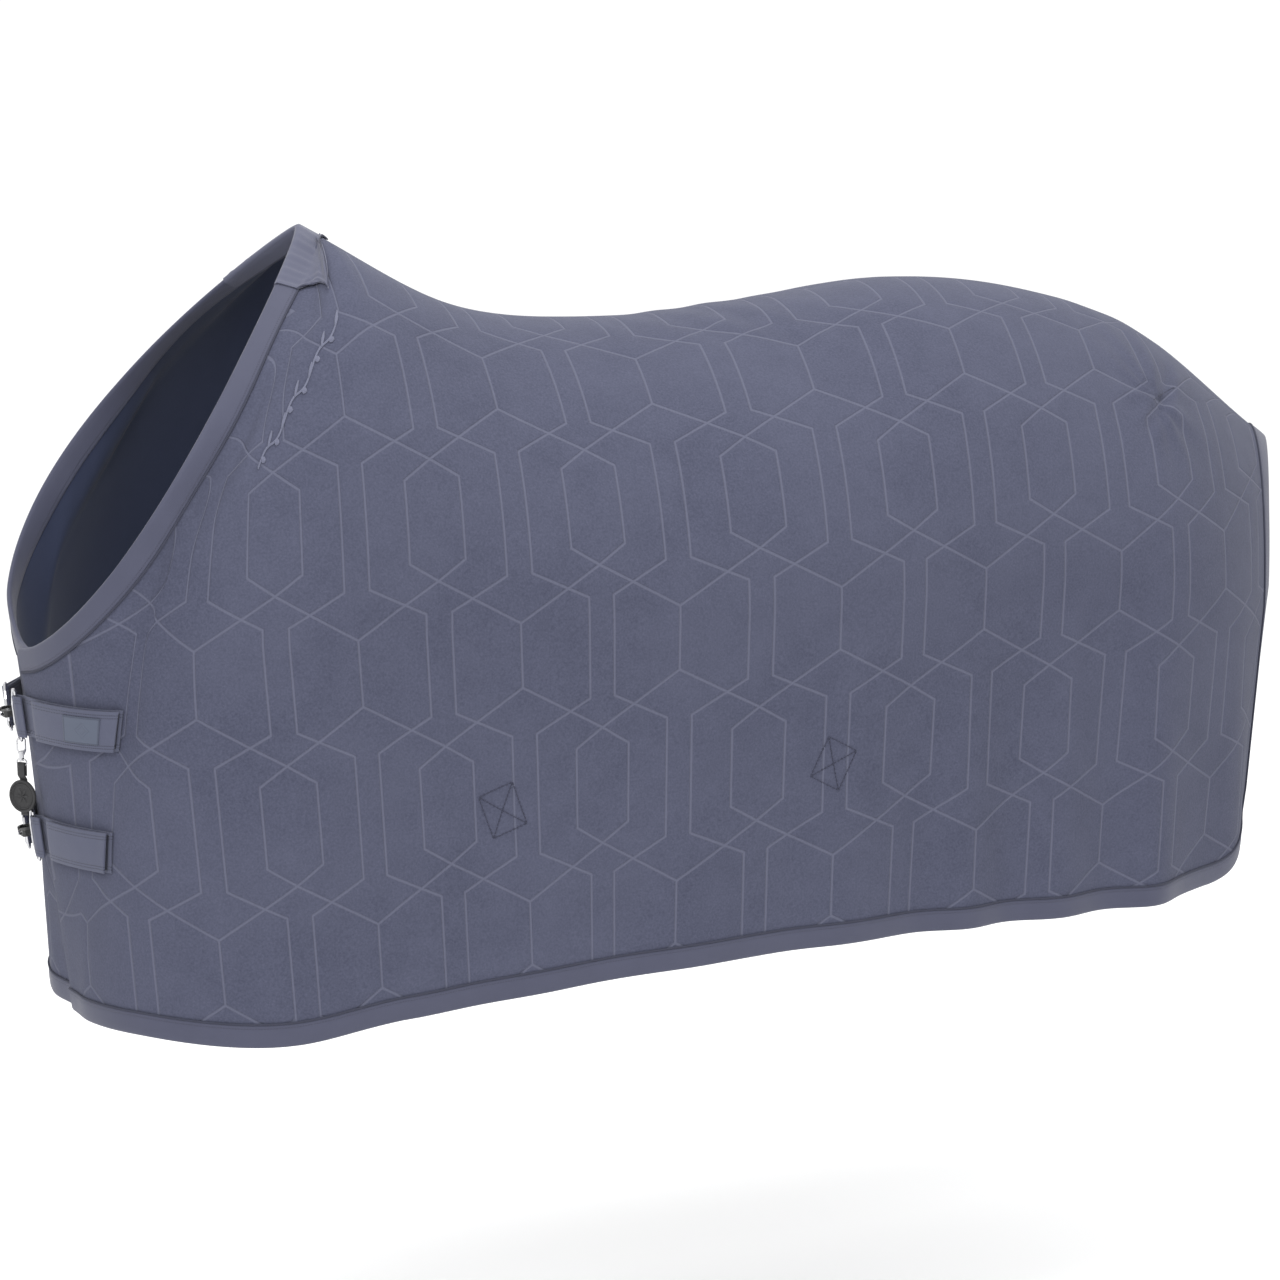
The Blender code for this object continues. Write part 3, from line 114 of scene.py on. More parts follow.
# where the embossed pattern's upright columns cross the body, from chest to tail
COLUMNS = (-0.445, -0.245, -0.050, 0.154, 0.3645, 0.5916, 0.815, 1.035, 1.25, 1.46)
FIRST_COLUMN = -2.5
CELL_WIDTH = 0.212
CELL_HEIGHT = 0.342
ROW_SHARE = 0.385           # the row number at the pattern's level line
ROW_LEVEL = -0.4712         # height of that line just in front of the withers
ROW_RISE = 0.0325           # how much it climbs per metre towards the tail
LEAN_PLACES = (-0.05, 0.15, 0.36)
LEAN_SIZES = (0.019, 0.0098, -0.0085)
LEAN_TOP = -0.47            # the columns lean below this height
LEAN_DROP = 0.34


def unit(vector: np.ndarray) -> np.ndarray:
    """Return vectors at length 1, one per row."""
    return vector / np.maximum(np.linalg.norm(vector, axis=-1, keepdims=True), 1e-12)


def smooth_line(points: tuple, x: float) -> float:
    """Return a smooth curve's value at x.

    Args:
        points: (x, value) pairs that it goes through.
        x: where it is read.

    Returns:
        The value, with the ends held.
    """
    xs = np.array([p[0] for p in points])
    ys = np.array([p[1] for p in points])
    slopes = np.gradient(ys, xs)
    i = int(np.clip(np.searchsorted(xs, x) - 1, 0, len(xs) - 2))
    width = xs[i + 1] - xs[i]
    t = float(np.clip((x - xs[i]) / width, 0.0, 1.0))
    return ((2 * t**3 - 3 * t**2 + 1) * ys[i] + (t**3 - 2 * t**2 + t) * width * slopes[i]
            + (3 * t**2 - 2 * t**3) * ys[i + 1] + (t**3 - t**2) * width * slopes[i + 1])


def ramp(low: float, high: float, value: np.ndarray) -> np.ndarray:
    """Return 0 below low, 1 above high, and a smooth rise between."""
    t = np.clip((np.asarray(value, float) - low) / (high - low), 0.0, 1.0)
    return t * t * (3 - 2 * t)


class RugForm:
    """The cloth's surface: stations run from the chest (0) past the shoulder (1) to the rear (2)."""

    def __init__(self, cut: Cut) -> None:
        """Take the cut and measure the chest curve.

        Args:
            cut: the cut.
        """
        self.cut = cut
        self.falls: dict[float, tuple[np.ndarray, np.ndarray]] = {}
        steps = np.linspace(0.0, 1.0, 201)
        plan = np.array([self.plan_point(float(s)) for s in steps])
        runs = np.concatenate(([0.0], np.cumsum(np.linalg.norm(np.diff(plan, axis=0), axis=1))))
        self.chest_steps, self.chest_runs = steps, runs

    def back_point(self, x: float) -> np.ndarray:
        """Return the back seam's point at x."""
        line = BACK_LINE + ((self.cut.back_length, self.cut.tail_height),)
        return np.array((x, 0.0, smooth_line(line, x)))

    def neck_edge(self, k: float) -> np.ndarray:
        """Return the neckline's edge on the left: 0 at the chest, 1 at the withers.

        Args:
            k: how far up the neckline, 0 at the chest to 1 at the withers.

        Returns:
            The point.
        """
        c, k = self.cut, float(np.clip(k, 0.0, 1.0))
        x = (1 - k)**2 * c.neck_front[0] + 2 * k * (1 - k) * c.neck_bend[0]
        z = (1 - k)**2 * c.neck_front[1] + 2 * k * (1 - k) * c.neck_bend[1]
        return np.array((x, -c.neck_half * max(math.sin(math.pi * k**0.8), 0.0)**c.neck_swell, z))

    def plan_point(self, s: float) -> np.ndarray:
        """Return the foot of the rounded upper side, seen from above.

        Args:
            s: the station, 0 at the chest, 1 at the shoulder, 2 at the rear.

        Returns:
            Its x and y.
        """
        c, power = self.cut, 2.0 / self.cut.chest_round
        angle = float(np.clip(s, 0.0, 1.0)) * math.pi / 2
        if s < 1.0:
            return np.array((c.chest_x * max(math.cos(angle), 0.0)**power,
                             -c.shoulder_half * max(math.sin(angle), 0.0)**power))
        x = c.rear_x * (s - 1.0)
        if x < c.barrel_x:
            rise = math.sin(x / c.barrel_x * math.pi / 2)
            return np.array((x, -c.shoulder_half - (c.barrel_half - c.shoulder_half) * rise))
        t = max(0.0, (x - c.haunch_x) / (c.rear_x - c.haunch_x))
        return np.array((x, -c.barrel_half + (c.barrel_half - c.rear_half) * t**1.7))

    def hem_point(self, s: float) -> np.ndarray:
        """Return the hem's edge at a station.

        Args:
            s: the station, 0 at the chest, 1 at the shoulder, 2 at the rear.

        Returns:
            The point.
        """
        c = self.cut
        x, y = self.plan_point(s)
        t = float(np.clip((x - (c.rear_x - c.hem_corner)) / c.hem_corner, 0.0, 1.0))
        z = smooth_line(HEM_LINE, s) + c.hem_corner * (1 - math.sqrt(max(1 - t * t, 0.0)))
        x += (c.hem_front_x - c.chest_x) * max(0.0, 1.0 - s) - c.rear_lean * max(0.0, s - 1.0)**2
        return np.array((x, y, z))

    def foot_point(self, s: float, top: float) -> tuple[np.ndarray, float]:
        """Return where the rounded upper part ends, and its height below the top edge.

        Args:
            s: the station, 0 at the chest, 1 at the shoulder, 2 at the rear.
            top: height of the top edge there.

        Returns:
            The foot's x and y, and the height.
        """
        c = self.cut
        foot, hem = self.plan_point(s), self.hem_point(s)
        straight = max(0.0, 1.0 - s / c.chest_straight)
        half = min(c.shoulder_drop, 0.45 * (top - hem[2]))
        return foot + (hem[:2] - foot) * straight, half + (top - hem[2] - half) * straight

    def neck_inner(self, k: float) -> np.ndarray:
        """Return the neckline binding's inner line on the left.

        Args:
            k: how far up the neckline, 0 at the chest to 1 at the withers.

        Returns:
            The point.
        """
        if k > 0.999:
            return self.back_point(self.cut.band)
        along = unit(self.neck_edge(k + 0.002) - self.neck_edge(max(k - 0.002, 0.0)))
        edge = self.neck_edge(k)
        foot, half = self.foot_point(k, edge[2])
        lie = unit(np.array((foot[0] - edge[0], foot[1] - edge[1], -max(0.0, 1.0 - k) * half)))
        lie = lie * (1 - k**6) + self.back_point(0.1) / 0.1 * k**6
        return edge + unit(lie - along * float(lie @ along)) * self.cut.band

    def top_point(self, s: float) -> np.ndarray:
        """Return the panel's top edge at a station.

        Args:
            s: the station, 0 at the chest, 1 at the shoulder, 2 at the rear.

        Returns:
            The point.
        """
        band = self.cut.band
        return self.neck_inner(s) if s < 1.0 else self.back_point(
            band + (self.cut.back_length - band) * (s - 1.0))

    def fall(self, s: float) -> tuple[np.ndarray, np.ndarray]:
        """Return points down the cloth from its top edge to the hem, and their running length.

        Args:
            s: the station, 0 at the chest, 1 at the shoulder, 2 at the rear.

        Returns:
            The points, and the length run at each.
        """
        key = round(s, 6)
        if key in self.falls:
            return self.falls[key]
        top, hem = self.top_point(s), self.hem_point(s)
        foot, half = self.foot_point(s, float(top[2]))
        slope = max(0.0, 1.0 - s)
        start = np.array((foot[0] - top[0], foot[1] - top[1], -half * slope))
        turn = np.zeros(3)
        if s < 1.0:
            lead = unit(top - self.neck_edge(s)) * np.linalg.norm(start) - start
            turn = lead * min(1.0, s / 0.6)**2 * (1.0 - float(ramp(self.cut.fade_start, 1.0, s)))
        points = []
        for angle in np.linspace(0.0, math.pi / 2, self.cut.arc_points):
            out = math.sin(angle)
            drop = (1 - slope) * (1 - math.cos(angle)) + slope * out
            ease = angle * max(0.0, 1 - angle / self.cut.neck_ease)**2
            place = np.array((*(top[:2] + (foot - top[:2]) * out), top[2] - half * drop))
            points.append(place + turn * ease)
        base = np.array(points[-1])
        if s > 0.0004:
            shares = np.linspace(0.0, 1.0, self.cut.straight_points)[1:]
            points += [base + (hem - base) * share for share in shares]
        line = np.array(points)
        runs = np.concatenate(([0.0], np.cumsum(np.linalg.norm(np.diff(line, axis=0), axis=1))))
        self.falls[key] = (line, runs)
        return self.falls[key]

    def length(self, s: float) -> float:
        """Return the cloth's length from its top edge to the hem."""
        return float(self.fall(abs(s))[1][-1])

    def column(self, s: float, shares: np.ndarray) -> np.ndarray:
        """Return points down one station, at shares of its length."""
        line, runs = self.fall(s)
        return np.stack([np.interp(shares * runs[-1], runs, line[:, axis]) for axis in range(3)], -1)

    def normals(self, s: float, shares: np.ndarray) -> np.ndarray:
        """Return the left side's outward directions down one station.

        Args:
            s: the station, 0 at the chest to 2 at the rear.
            shares: shares of the cloth's length, from its top edge down.

        Returns:
            One direction per share.
        """
        a, b = max(s - self.cut.probe, 0.0), min(s + self.cut.probe, 2.0)
        if s >= 1.0 > a:
            a = 1.0
        down = (self.column(s, np.minimum(shares + 0.01, 1.0))
                - self.column(s, np.maximum(shares - 0.01, 0.0)))
        normal = unit(np.cross(down, self.column(b, shares) - self.column(a, shares)))
        for i in np.nonzero(shares < 1e-6)[0]:
            if s < 1.0:
                away = unit(self.neck_edge(s) - self.column(s, shares[i:i + 1])[0])
                normal[i] = unit(normal[i] - away * float(normal[i] @ away))
            else:
                normal[i] = unit(normal[i] * np.array((1.0, 0.0, 1.0)))
        return normal

    def cloth(self, side: Side, s: float, shares: np.ndarray | float,
              out: np.ndarray | float = 0.0) -> np.ndarray:
        """Return points on a panel.

        Args:
            side: which panel.
            s: the station; below 0 it is the right panel's underlap.
            shares: shares of the length down the cloth.
            out: distance outwards from the cloth's middle surface.

        Returns:
            One point per share.
        """
        c, v = self.cut, np.atleast_1d(np.asarray(shares, float))
        lift = np.zeros(len(v)) + out
        if side is Side.RIGHT:
            lift = lift - c.underlap_depth * float(ramp(0.0, c.underlap_blend, c.underlap_blend - s))
        flip = -side.value if s >= 0 else side.value
        place = self.column(abs(s), v) + self.normals(abs(s), v) * lift[:, None]
        return place * np.array((1.0, flip, 1.0))

    def band_start(self, s: float) -> float:
        """Return the share of the length at which the hem's binding starts."""
        return 1.0 - self.cut.band / self.length(s)

    def girth(self, s: float) -> float:
        """Return the distance round the body from the shoulder, behind it positive.

        Args:
            s: the station, 0 at the chest, 1 at the shoulder, 2 at the rear.

        Returns:
            The distance.
        """
        if s >= 1.0:
            return float(self.plan_point(s)[0])
        run = float(np.interp(abs(s), self.chest_steps, self.chest_runs)) - self.chest_runs[-1]
        return run if s >= 0 else -2 * float(self.chest_runs[-1]) - run

    def pattern(self, s: float, shares: np.ndarray) -> np.ndarray:
        """Return the embossed pattern's column and row numbers down one station.

        Args:
            s: the station, 0 at the chest, 1 at the shoulder, 2 at the rear.
            shares: shares of the cloth's length, from its top edge down.

        Returns:
            Two numbers per share.
        """
        line, runs = self.fall(abs(s))
        round_body = self.girth(s)
        level = ROW_LEVEL + ROW_RISE * (float(line[-1][0]) - LEAN_PLACES[0])
        start = float(np.interp(-level, -line[:, 2], runs))
        rows = ROW_SHARE + (shares * runs[-1] - start) / CELL_HEIGHT
        heights = self.column(abs(s), shares)[:, 2]
        lean = float(np.interp(round_body, LEAN_PLACES, LEAN_SIZES))
        places = round_body - lean * np.maximum((LEAN_TOP - heights) / LEAN_DROP, 0.0)
        numbers = np.arange(len(COLUMNS)) + FIRST_COLUMN
        step = (COLUMNS[1] - COLUMNS[0], COLUMNS[-1] - COLUMNS[-2])
        columns = np.interp(places, COLUMNS, numbers)
        columns = columns + np.minimum(places - COLUMNS[0], 0.0) / step[0]
        columns = columns + np.maximum(places - COLUMNS[-1], 0.0) / step[1]
        return np.stack([columns, rows], -1)

    def find(self, place: np.ndarray, near: tuple[float, float]) -> tuple[float, float]:
        """Return the station and share whose left-side point is nearest to a place.

        Args:
            place: the place.
            near: a station and share to start from.

        Returns:
            The station and share.
        """
        s, v, reach = near[0], near[1], (0.12, 0.12)
        for _ in range(9):
            tries = [(s + a * reach[0], v + b * reach[1]) for a in (-1, -0.5, 0, 0.5, 1)
                     for b in (-1, -0.5, 0, 0.5, 1)]
            tries = [(min(max(a, 0.0), 2.0), min(max(b, 0.0), 1.0)) for a, b in tries]
            gaps = [float(np.linalg.norm(self.column(a, np.array([b]))[0] - place)) for a, b in tries]
            s, v = tries[int(np.argmin(gaps))]
            reach = (reach[0] * 0.55, reach[1] * 0.55)
        return s, v


@dataclass
class Drape:
    """Soft waves, the haunch dart and the pull of the stitched patches, as distance outwards."""

    form: RugForm
    dart: tuple[float, float] = (1.187, -0.245)
    dart_turn: tuple[float, float] = (0.86, 0.5)
    crease: tuple[float, float] = (0.58, -0.135)
    patches: tuple = ((0.129, -0.690), (0.581, -0.676))
    patch_pull: float = 0.0016
    patch_size: float = 0.035
    side_shift: float = 0.6

    def waves(self, place: tuple, shares: np.ndarray, shift: float) -> np.ndarray:
        """Return the hanging waves, deepest low down near the tail.

        Args:
            place: the points' three coordinates.
            shares: shares of the cloth's length, from its top edge down.
            shift: how far the waves are moved along.

        Returns:
            One distance per point.
        """
        x, _, z = place
        tail, low, body = ramp(0.1, 1.2, x), ramp(0.42, 0.90, -z), ramp(0.05, 0.3, shares)
        folds = np.sin(x * 34.0 + 1.3 + shift + 1.2 * np.sin(x * 7.0)) * (0.0018 + 0.0066 * tail) * low
        folds += 0.0010 * np.sin(x * 61.0 + 2.0 * z + shift) * low * tail
        folds += 0.0015 * np.sin(x * 9.0 - z * 5.0 + shift) * body
        return folds + 0.0011 * np.sin(x * 15.0 + z * 8.0 + 2.1) * body

    def back_creases(self, place: tuple) -> np.ndarray:
        """Return the small creases beside the back seam.

        Args:
            place: the points' three coordinates.

        Returns:
            One distance per point.
        """
        x, y, z = place
        where = np.exp(-(((x - self.crease[0]) / 0.16)**2)) * np.exp(-((z - self.crease[1]) / 0.035)**2)
        return 0.0011 * where * np.sin(x * 78.0 + y * 40.0)

    def dart_pull(self, place: tuple) -> np.ndarray:
        """Return the dart's groove, the swell beside it and the fan of creases at its tip.

        Args:
            place: the points' three coordinates.

        Returns:
            One distance per point.
        """
        dx, dz = place[0] - self.dart[0], place[2] - self.dart[1]
        along = dx * self.dart_turn[0] + dz * self.dart_turn[1]
        across = dz * self.dart_turn[0] - dx * self.dart_turn[1]
        groove = np.exp(-(along / 0.060)**2 - (across / 0.010)**2)
        swell = np.exp(-(along / 0.075)**2 - (across / 0.035)**2)
        fan = np.sin(np.arctan2(dz, dx + 0.03) * 9.0) * np.exp(-(dx**2 + dz**2) / 0.009)
        return -0.0100 * groove + 0.0060 * swell + 0.0022 * fan

    def lift(self, side: Side, s: float, shares: np.ndarray) -> np.ndarray:
        """Return how far the cloth stands off its plain form down one station.

        Args:
            side: which of the horse's sides.
            s: the station, 0 at the chest, 1 at the shoulder, 2 at the rear.
            shares: shares of the cloth's length, from its top edge down.

        Returns:
            One distance per share.
        """
        place = tuple(self.form.column(abs(s), shares).T)
        x, _, z = place
        stand = self.waves(place, shares, self.side_shift * side.value)
        stand += self.back_creases(place) + self.dart_pull(place)
        if 0.15 < s < 0.95:
            near = np.exp(-((shares * self.form.length(s)) / 0.05)**2)
            stand += 0.0010 * near * np.sin(s * 46.0)
        for px, pz in self.patches:
            stand -= self.patch_pull * np.exp(-(((x - px)**2 + (z - pz)**2) / self.patch_size**2))
        edge = ramp(0.0, 0.03, shares)
        if s >= 1.0:
            edge = 0.25 + 0.75 * ramp(0.0, 0.05, shares)
        return stand * edge * float(ramp(0.0, 0.10, abs(s))) * float(ramp(0.0, 0.03, 1.98 - s))


# ================================================================ shader helpers
class Value:
    """A number on a shader socket, used in expressions."""

    def __init__(self, maker: "Finish", socket: bpy.types.NodeSocket) -> None:
        """Keep the socket and the finish that adds nodes."""
        self.maker, self.socket = maker, socket

    def _math(self, name: str, *others: "Value | float") -> "Value":
        """Add one Math node on this value."""
        return self.maker.math(name, self, *others)

    def __add__(self, other: "Value | float") -> "Value":
        """Return the sum."""
        return self._math("ADD", other)

    __radd__ = __add__

    def __sub__(self, other: "Value | float") -> "Value":
        """Return the difference."""
        return self._math("SUBTRACT", other)

    def __rsub__(self, other: float) -> "Value":
        """Return the reflected difference."""
        return self.maker.math("SUBTRACT", other, self)

    def __mul__(self, other: "Value | float") -> "Value":
        """Return the product."""
        return self._math("MULTIPLY", other)

    __rmul__ = __mul__

    def __truediv__(self, other: "Value | float") -> "Value":
        """Return the quotient."""
        return self._math("DIVIDE", other)

    def __abs__(self) -> "Value":
        """Return the size without its sign."""
        return self._math("ABSOLUTE")

    def root(self) -> "Value":
        """Return the square root."""
        return self._math("SQRT")

    def nearest(self) -> "Value":
        """Return the nearest whole number."""
        return self._math("ROUND")

    def fraction(self) -> "Value":
        """Return what is over the whole number below."""
        return self._math("FRACT")

    def least(self, other: "Value | float") -> "Value":
        """Return the smaller of two."""
        return self._math("MINIMUM", other)

    def most(self, other: "Value | float") -> "Value":
        """Return the larger of two."""
        return self._math("MAXIMUM", other)

    def fade(self, low: float, high: float) -> "Value":
        """Return 1 at low, 0 at high, and a smooth change between.

        Args:
            low: the value at which it is 1.
            high: the value at which it is 0.

        Returns:
            The changed value.
        """
        made = self.maker.node("ShaderNodeMapRange",
                               {"interpolation_type": "SMOOTHSTEP", "clamp": True},
                               {"Value": self, "From Min": low, "From Max": high,
                                "To Min": 1.0, "To Max": 0.0})
        return Value(self.maker, made.outputs["Result"])


class Finish:
    """One procedural material being made."""

    def __init__(self, name: str, roughness: float = 0.9, metallic: float = 0.0, sheen: float = 0.0) -> None:
        """Start a material with its constant sockets.

        Args:
            name: the material's name.
            roughness: how dull it is.
            metallic: how metallic it is.
            sheen: how much it shines at the rim.
        """
        self.material = bpy.data.materials.new(name)
        self.material.use_nodes = True
        self.tree = self.material.node_tree
        self.shader = self.tree.nodes["Principled BSDF"]
        self.shader.inputs["Roughness"].default_value = roughness
        self.shader.inputs["Metallic"].default_value = metallic
        self.shader.inputs["Sheen Weight"].default_value = sheen
        self.shader.inputs["Sheen Roughness"].default_value = 0.45
        self.shader.inputs["Specular IOR Level"].default_value = 0.25 if metallic < 0.5 else 0.5
        self.coords = self.node("ShaderNodeTexCoord", {}, {})

    def node(self, kind: str, settings: dict, inputs: dict) -> bpy.types.Node:
        """Add a node.

        Args:
            kind: the node's type.
            settings: its own settings, set first.
            inputs: sockets by name or place, as values or links.

        Returns:
            The node.
        """
        made = self.tree.nodes.new(kind)
        for key, value in settings.items():
            setattr(made, key, value)
        for key, value in inputs.items():
            self.plug(made.inputs[key], value)
        return made

    def plug(self, socket: bpy.types.NodeSocket, value: object) -> None:
        """Link or set one socket.

        Args:
            socket: the shader socket.
            value: a link, a number or a colour.
        """
        if isinstance(value, Value):
            self.tree.links.new(value.socket, socket)
        elif isinstance(value, bpy.types.NodeSocket):
            self.tree.links.new(value, socket)
        else:
            socket.default_value = value

    def math(self, name: str, *values: "Value | float") -> Value:
        """Add a Math node."""
        made = self.node("ShaderNodeMath", {"operation": name}, dict(enumerate(values)))
        return Value(self, made.outputs[0])

    def pair(self, name: str) -> tuple[Value, Value]:
        """Return the two numbers of the piece's UV map.

        Args:
            name: the UV map's name.

        Returns:
            Both numbers.
        """
        layer = self.node("ShaderNodeUVMap", {"uv_map": name}, {})
        parts = self.node("ShaderNodeSeparateXYZ", {}, {0: layer.outputs["UV"]})
        return Value(self, parts.outputs["X"]), Value(self, parts.outputs["Y"])

    def grain(self, scale: float, detail: float = 3.0, stretch: tuple = (1.0, 1.0, 1.0)) -> Value:
        """Return noise over the piece's own coordinates.

        Args:
            scale: how fine the noise is.
            detail: how many finer layers it has.
            stretch: its scale on each axis.

        Returns:
            The noise, 0 to 1.
        """
        place = self.node("ShaderNodeMapping", {},
                          {"Vector": self.coords.outputs["Object"], "Scale": stretch})
        made = self.node("ShaderNodeTexNoise", {"noise_dimensions": "3D"},
                         {"Vector": place.outputs[0], "Scale": scale, "Detail": detail, "Roughness": 0.6})
        return Value(self, made.outputs["Fac"])

    def mix(self, share: "Value | float", first: object, second: object) -> bpy.types.NodeSocket:
        """Return a mix of two colours.

        Args:
            share: how much of the second.
            first: the first colour.
            second: the second colour.

        Returns:
            The colour.
        """
        made = self.tree.nodes.new("ShaderNodeMix")
        made.data_type = "RGBA"
        for place, value in ((0, share), (6, first), (7, second)):
            self.plug(made.inputs[place], (*value, 1.0) if isinstance(value, tuple) else value)
        return made.outputs[2]

    def bump(self, height: Value, distance: float, strength: float = 1.0,
             under: bpy.types.NodeSocket | None = None) -> bpy.types.NodeSocket:
        """Return a normal raised by a height.

        Args:
            height: the height that changes.
            distance: how high a height of 1 stands.
            strength: how strongly it shows.
            under: a normal to start from.

        Returns:
            The normal.
        """
        made = self.node("ShaderNodeBump", {}, {"Height": height, "Distance": distance, "Strength": strength})
        if under is not None:
            self.plug(made.inputs["Normal"], under)
        return made.outputs["Normal"]

    def done(self, color: object, normal: bpy.types.NodeSocket | None = None,
             roughness: Value | None = None) -> bpy.types.Material:
        """Plug the surface's changing sockets and return the material.

        Args:
            color: the base colour.
            normal: the raised normal, if there is one.
            roughness: the roughness, if it changes.

        Returns:
            The material.
        """
        self.plug(self.shader.inputs["Base Color"], color)
        if normal is not None:
            self.plug(self.shader.inputs["Normal"], normal)
        if roughness is not None:
            self.plug(self.shader.inputs["Roughness"], roughness)
        return self.material


@dataclass(frozen=True)
class PatternCell:
    """A quarter of the embossed pattern's repeat, in shares of its width and height."""

    width: float = CELL_WIDTH
    height: float = CELL_HEIGHT
    lines: tuple = (((0.17, 0.0), (0.17, 0.143)), ((0.17, 0.143), (0.0, 0.21)),
                    ((0.0, 0.21), (0.5, ROW_SHARE)), ((0.5, ROW_SHARE), (0.5, 0.5)),
                    ((0.422, 0.0), (0.422, 0.216)), ((0.422, 0.216), (0.078, 0.32)),
                    ((0.078, 0.32), (0.078, 0.5)))

    def distance(self, finish: Finish) -> Value:
        """Return the distance in metres to the nearest embossed line.

        Args:
            finish: the finish that adds the nodes.

        Returns:
            The distance.
        """
        columns, rows = finish.pair("pattern")
        x = abs(columns - columns.nearest()) * self.width
        y = abs(rows - rows.nearest()) * self.height
        best: Value | None = None
        for (ax, ay), (bx, by) in self.lines:
            start = (ax * self.width, ay * self.height)
            step = ((bx - ax) * self.width, (by - ay) * self.height)
            size = step[0]**2 + step[1]**2
            px, py = x - start[0], y - start[1]
            t = ((px * step[0] + py * step[1]) / size).most(0.0).least(1.0)
            dx, dy = px - t * step[0], py - t * step[1]
            gap = dx * dx + dy * dy
            best = gap if best is None else best.least(gap)
        return best.root()


class Finishes:
    """Every finish of the rug, made once."""

    def __init__(self) -> None:
        """Make the finishes."""
        self.fleece = self.embossed_fleece()
        # Lining colour: navy cloth, made darker still with painted shade for the shaded inside of the rug.
        self.lining = self.plain_cloth(
            "navy_lining", (0.0170, 0.0230, 0.0470), (0.0280, 0.0350, 0.0680), 900.0, 0.10)
        self.binding = self.bound_tape()
        self.piping = self.plain_cloth(
            "piping_cord", (0.020, 0.022, 0.036), (0.050, 0.053, 0.080), 1400.0, 0.05)
        self.collar = self.plain_cloth(
            "collar_cloth", (0.0710, 0.0747, 0.1095), (0.0918, 0.0962, 0.1376), 1500.0, 0.18)
        self.webbing = self.stitched_webbing(
            "chest_webbing", (0.0607, 0.0659, 0.1021), (0.0799, 0.0858, 0.1273))
        self.navy_web = self.stitched_webbing(
            "navy_webbing", (0.013, 0.015, 0.026), (0.030, 0.033, 0.050))
        self.fuzzy = self.plain_cloth(
            "hook_and_loop", (0.012, 0.013, 0.020), (0.035, 0.037, 0.052), 2200.0, 0.05)
        self.thread = self.plain_cloth(
            "dark_thread", (0.026, 0.028, 0.048), (0.050, 0.053, 0.082), 3000.0, 0.05)
        self.flourish = self.plain_cloth(
            "flourish_thread", (0.0888, 0.0947, 0.1406), (0.1480, 0.1539, 0.2109), 2600.0, 0.15)
        self.label = self.woven_label()
        self.steel = self.metal(
            "bright_steel", (0.56, 0.56, 0.58), (0.40, 0.40, 0.42), 0.20, 1.0)
        # Near-black metal for the snap hooks and bolts: painted shade, standing for the shade they sit in
        # under the straps.
        self.painted_shade_metal = self.metal(
            "black_snap_metal", (0.020, 0.020, 0.023), (0.05, 0.05, 0.055), 0.32, 0.85)
        self.leather = self.black_leather()

    def embossed_fleece(self) -> bpy.types.Material:
        """Return the fleece: soft nap, faint mottling and raised pattern lines.

        Returns:
            The material.
        """
        f = Finish("embossed_fleece", 0.95, 0.0, 0.04)
        gap = PatternCell().distance(f)
        ridge = gap.fade(0.0007, 0.0026)
        shoulder = gap.fade(0.0018, 0.0085)
        nap, fine = f.grain(380.0, 3.0), f.grain(1500.0, 2.0)
        patchy, broad = f.grain(26.0, 4.0), f.grain(4.5, 2.0)
        base = f.mix(nap * 1.30 + patchy * 0.45 - 0.38, (0.0355, 0.0392, 0.0644), (0.0770, 0.0821, 0.1243))
        base = f.mix(broad.fade(0.62, 0.38) * 0.20, base, (0.0799, 0.0851, 0.1258))
        color = f.mix(ridge * 0.55, base, (0.1110, 0.1162, 0.1628))
        height = ridge * 1.0 + shoulder * 0.35
        raised = f.bump(height, 0.0011, 0.85)
        soft = f.bump(nap * 0.7 + fine * 0.3 + patchy * 1.2, 0.0009, 0.55, raised)
        return f.done(color, soft)

    def plain_cloth(self, name: str, dark: tuple, light: tuple, scale: float,
                    sheen: float) -> bpy.types.Material:
        """Return a plain cloth with a fine thread grain.

        Args:
            name: the material's name.
            dark: the darker colour.
            light: the lighter colour.
            scale: how fine the thread is.
            sheen: how much it shines at the rim.

        Returns:
            The material.
        """
        f = Finish(name, 0.88, 0.0, sheen)
        thread, patchy = f.grain(scale, 2.0), f.grain(40.0, 3.0)
        color = f.mix(thread * 0.7 + patchy * 0.3, dark, light)
        return f.done(color, f.bump(thread + patchy * 0.6, 0.0005, 0.5))

    def bound_tape(self) -> bpy.types.Material:
        """Return the binding: a smooth tape with faint cross ribs and an edge stitch.

        Returns:
            The material.
        """
        f = Finish("binding_tape", 0.72, 0.0, 0.15)
        along, across = f.pair("tape")
        rib = abs((along / 0.0016).fraction() - 0.5) * 2.0
        dash = abs((along / 0.0034).fraction() - 0.5).fade(0.30, 0.38)
        stitch = abs(across - 0.0040).fade(0.0003, 0.0008) * dash
        fine, patchy = f.grain(1300.0, 2.0), f.grain(22.0, 3.0)
        color = f.mix(fine * 0.45 + patchy * 0.55, (0.0459, 0.0488, 0.0777), (0.0651, 0.0688, 0.1066))
        color = f.mix(stitch * 0.8, color, (0.045, 0.047, 0.075))
        return f.done(color, f.bump(rib * 0.25 + fine * 0.5 + patchy * 1.6 - stitch * 1.5, 0.0005, 0.6))

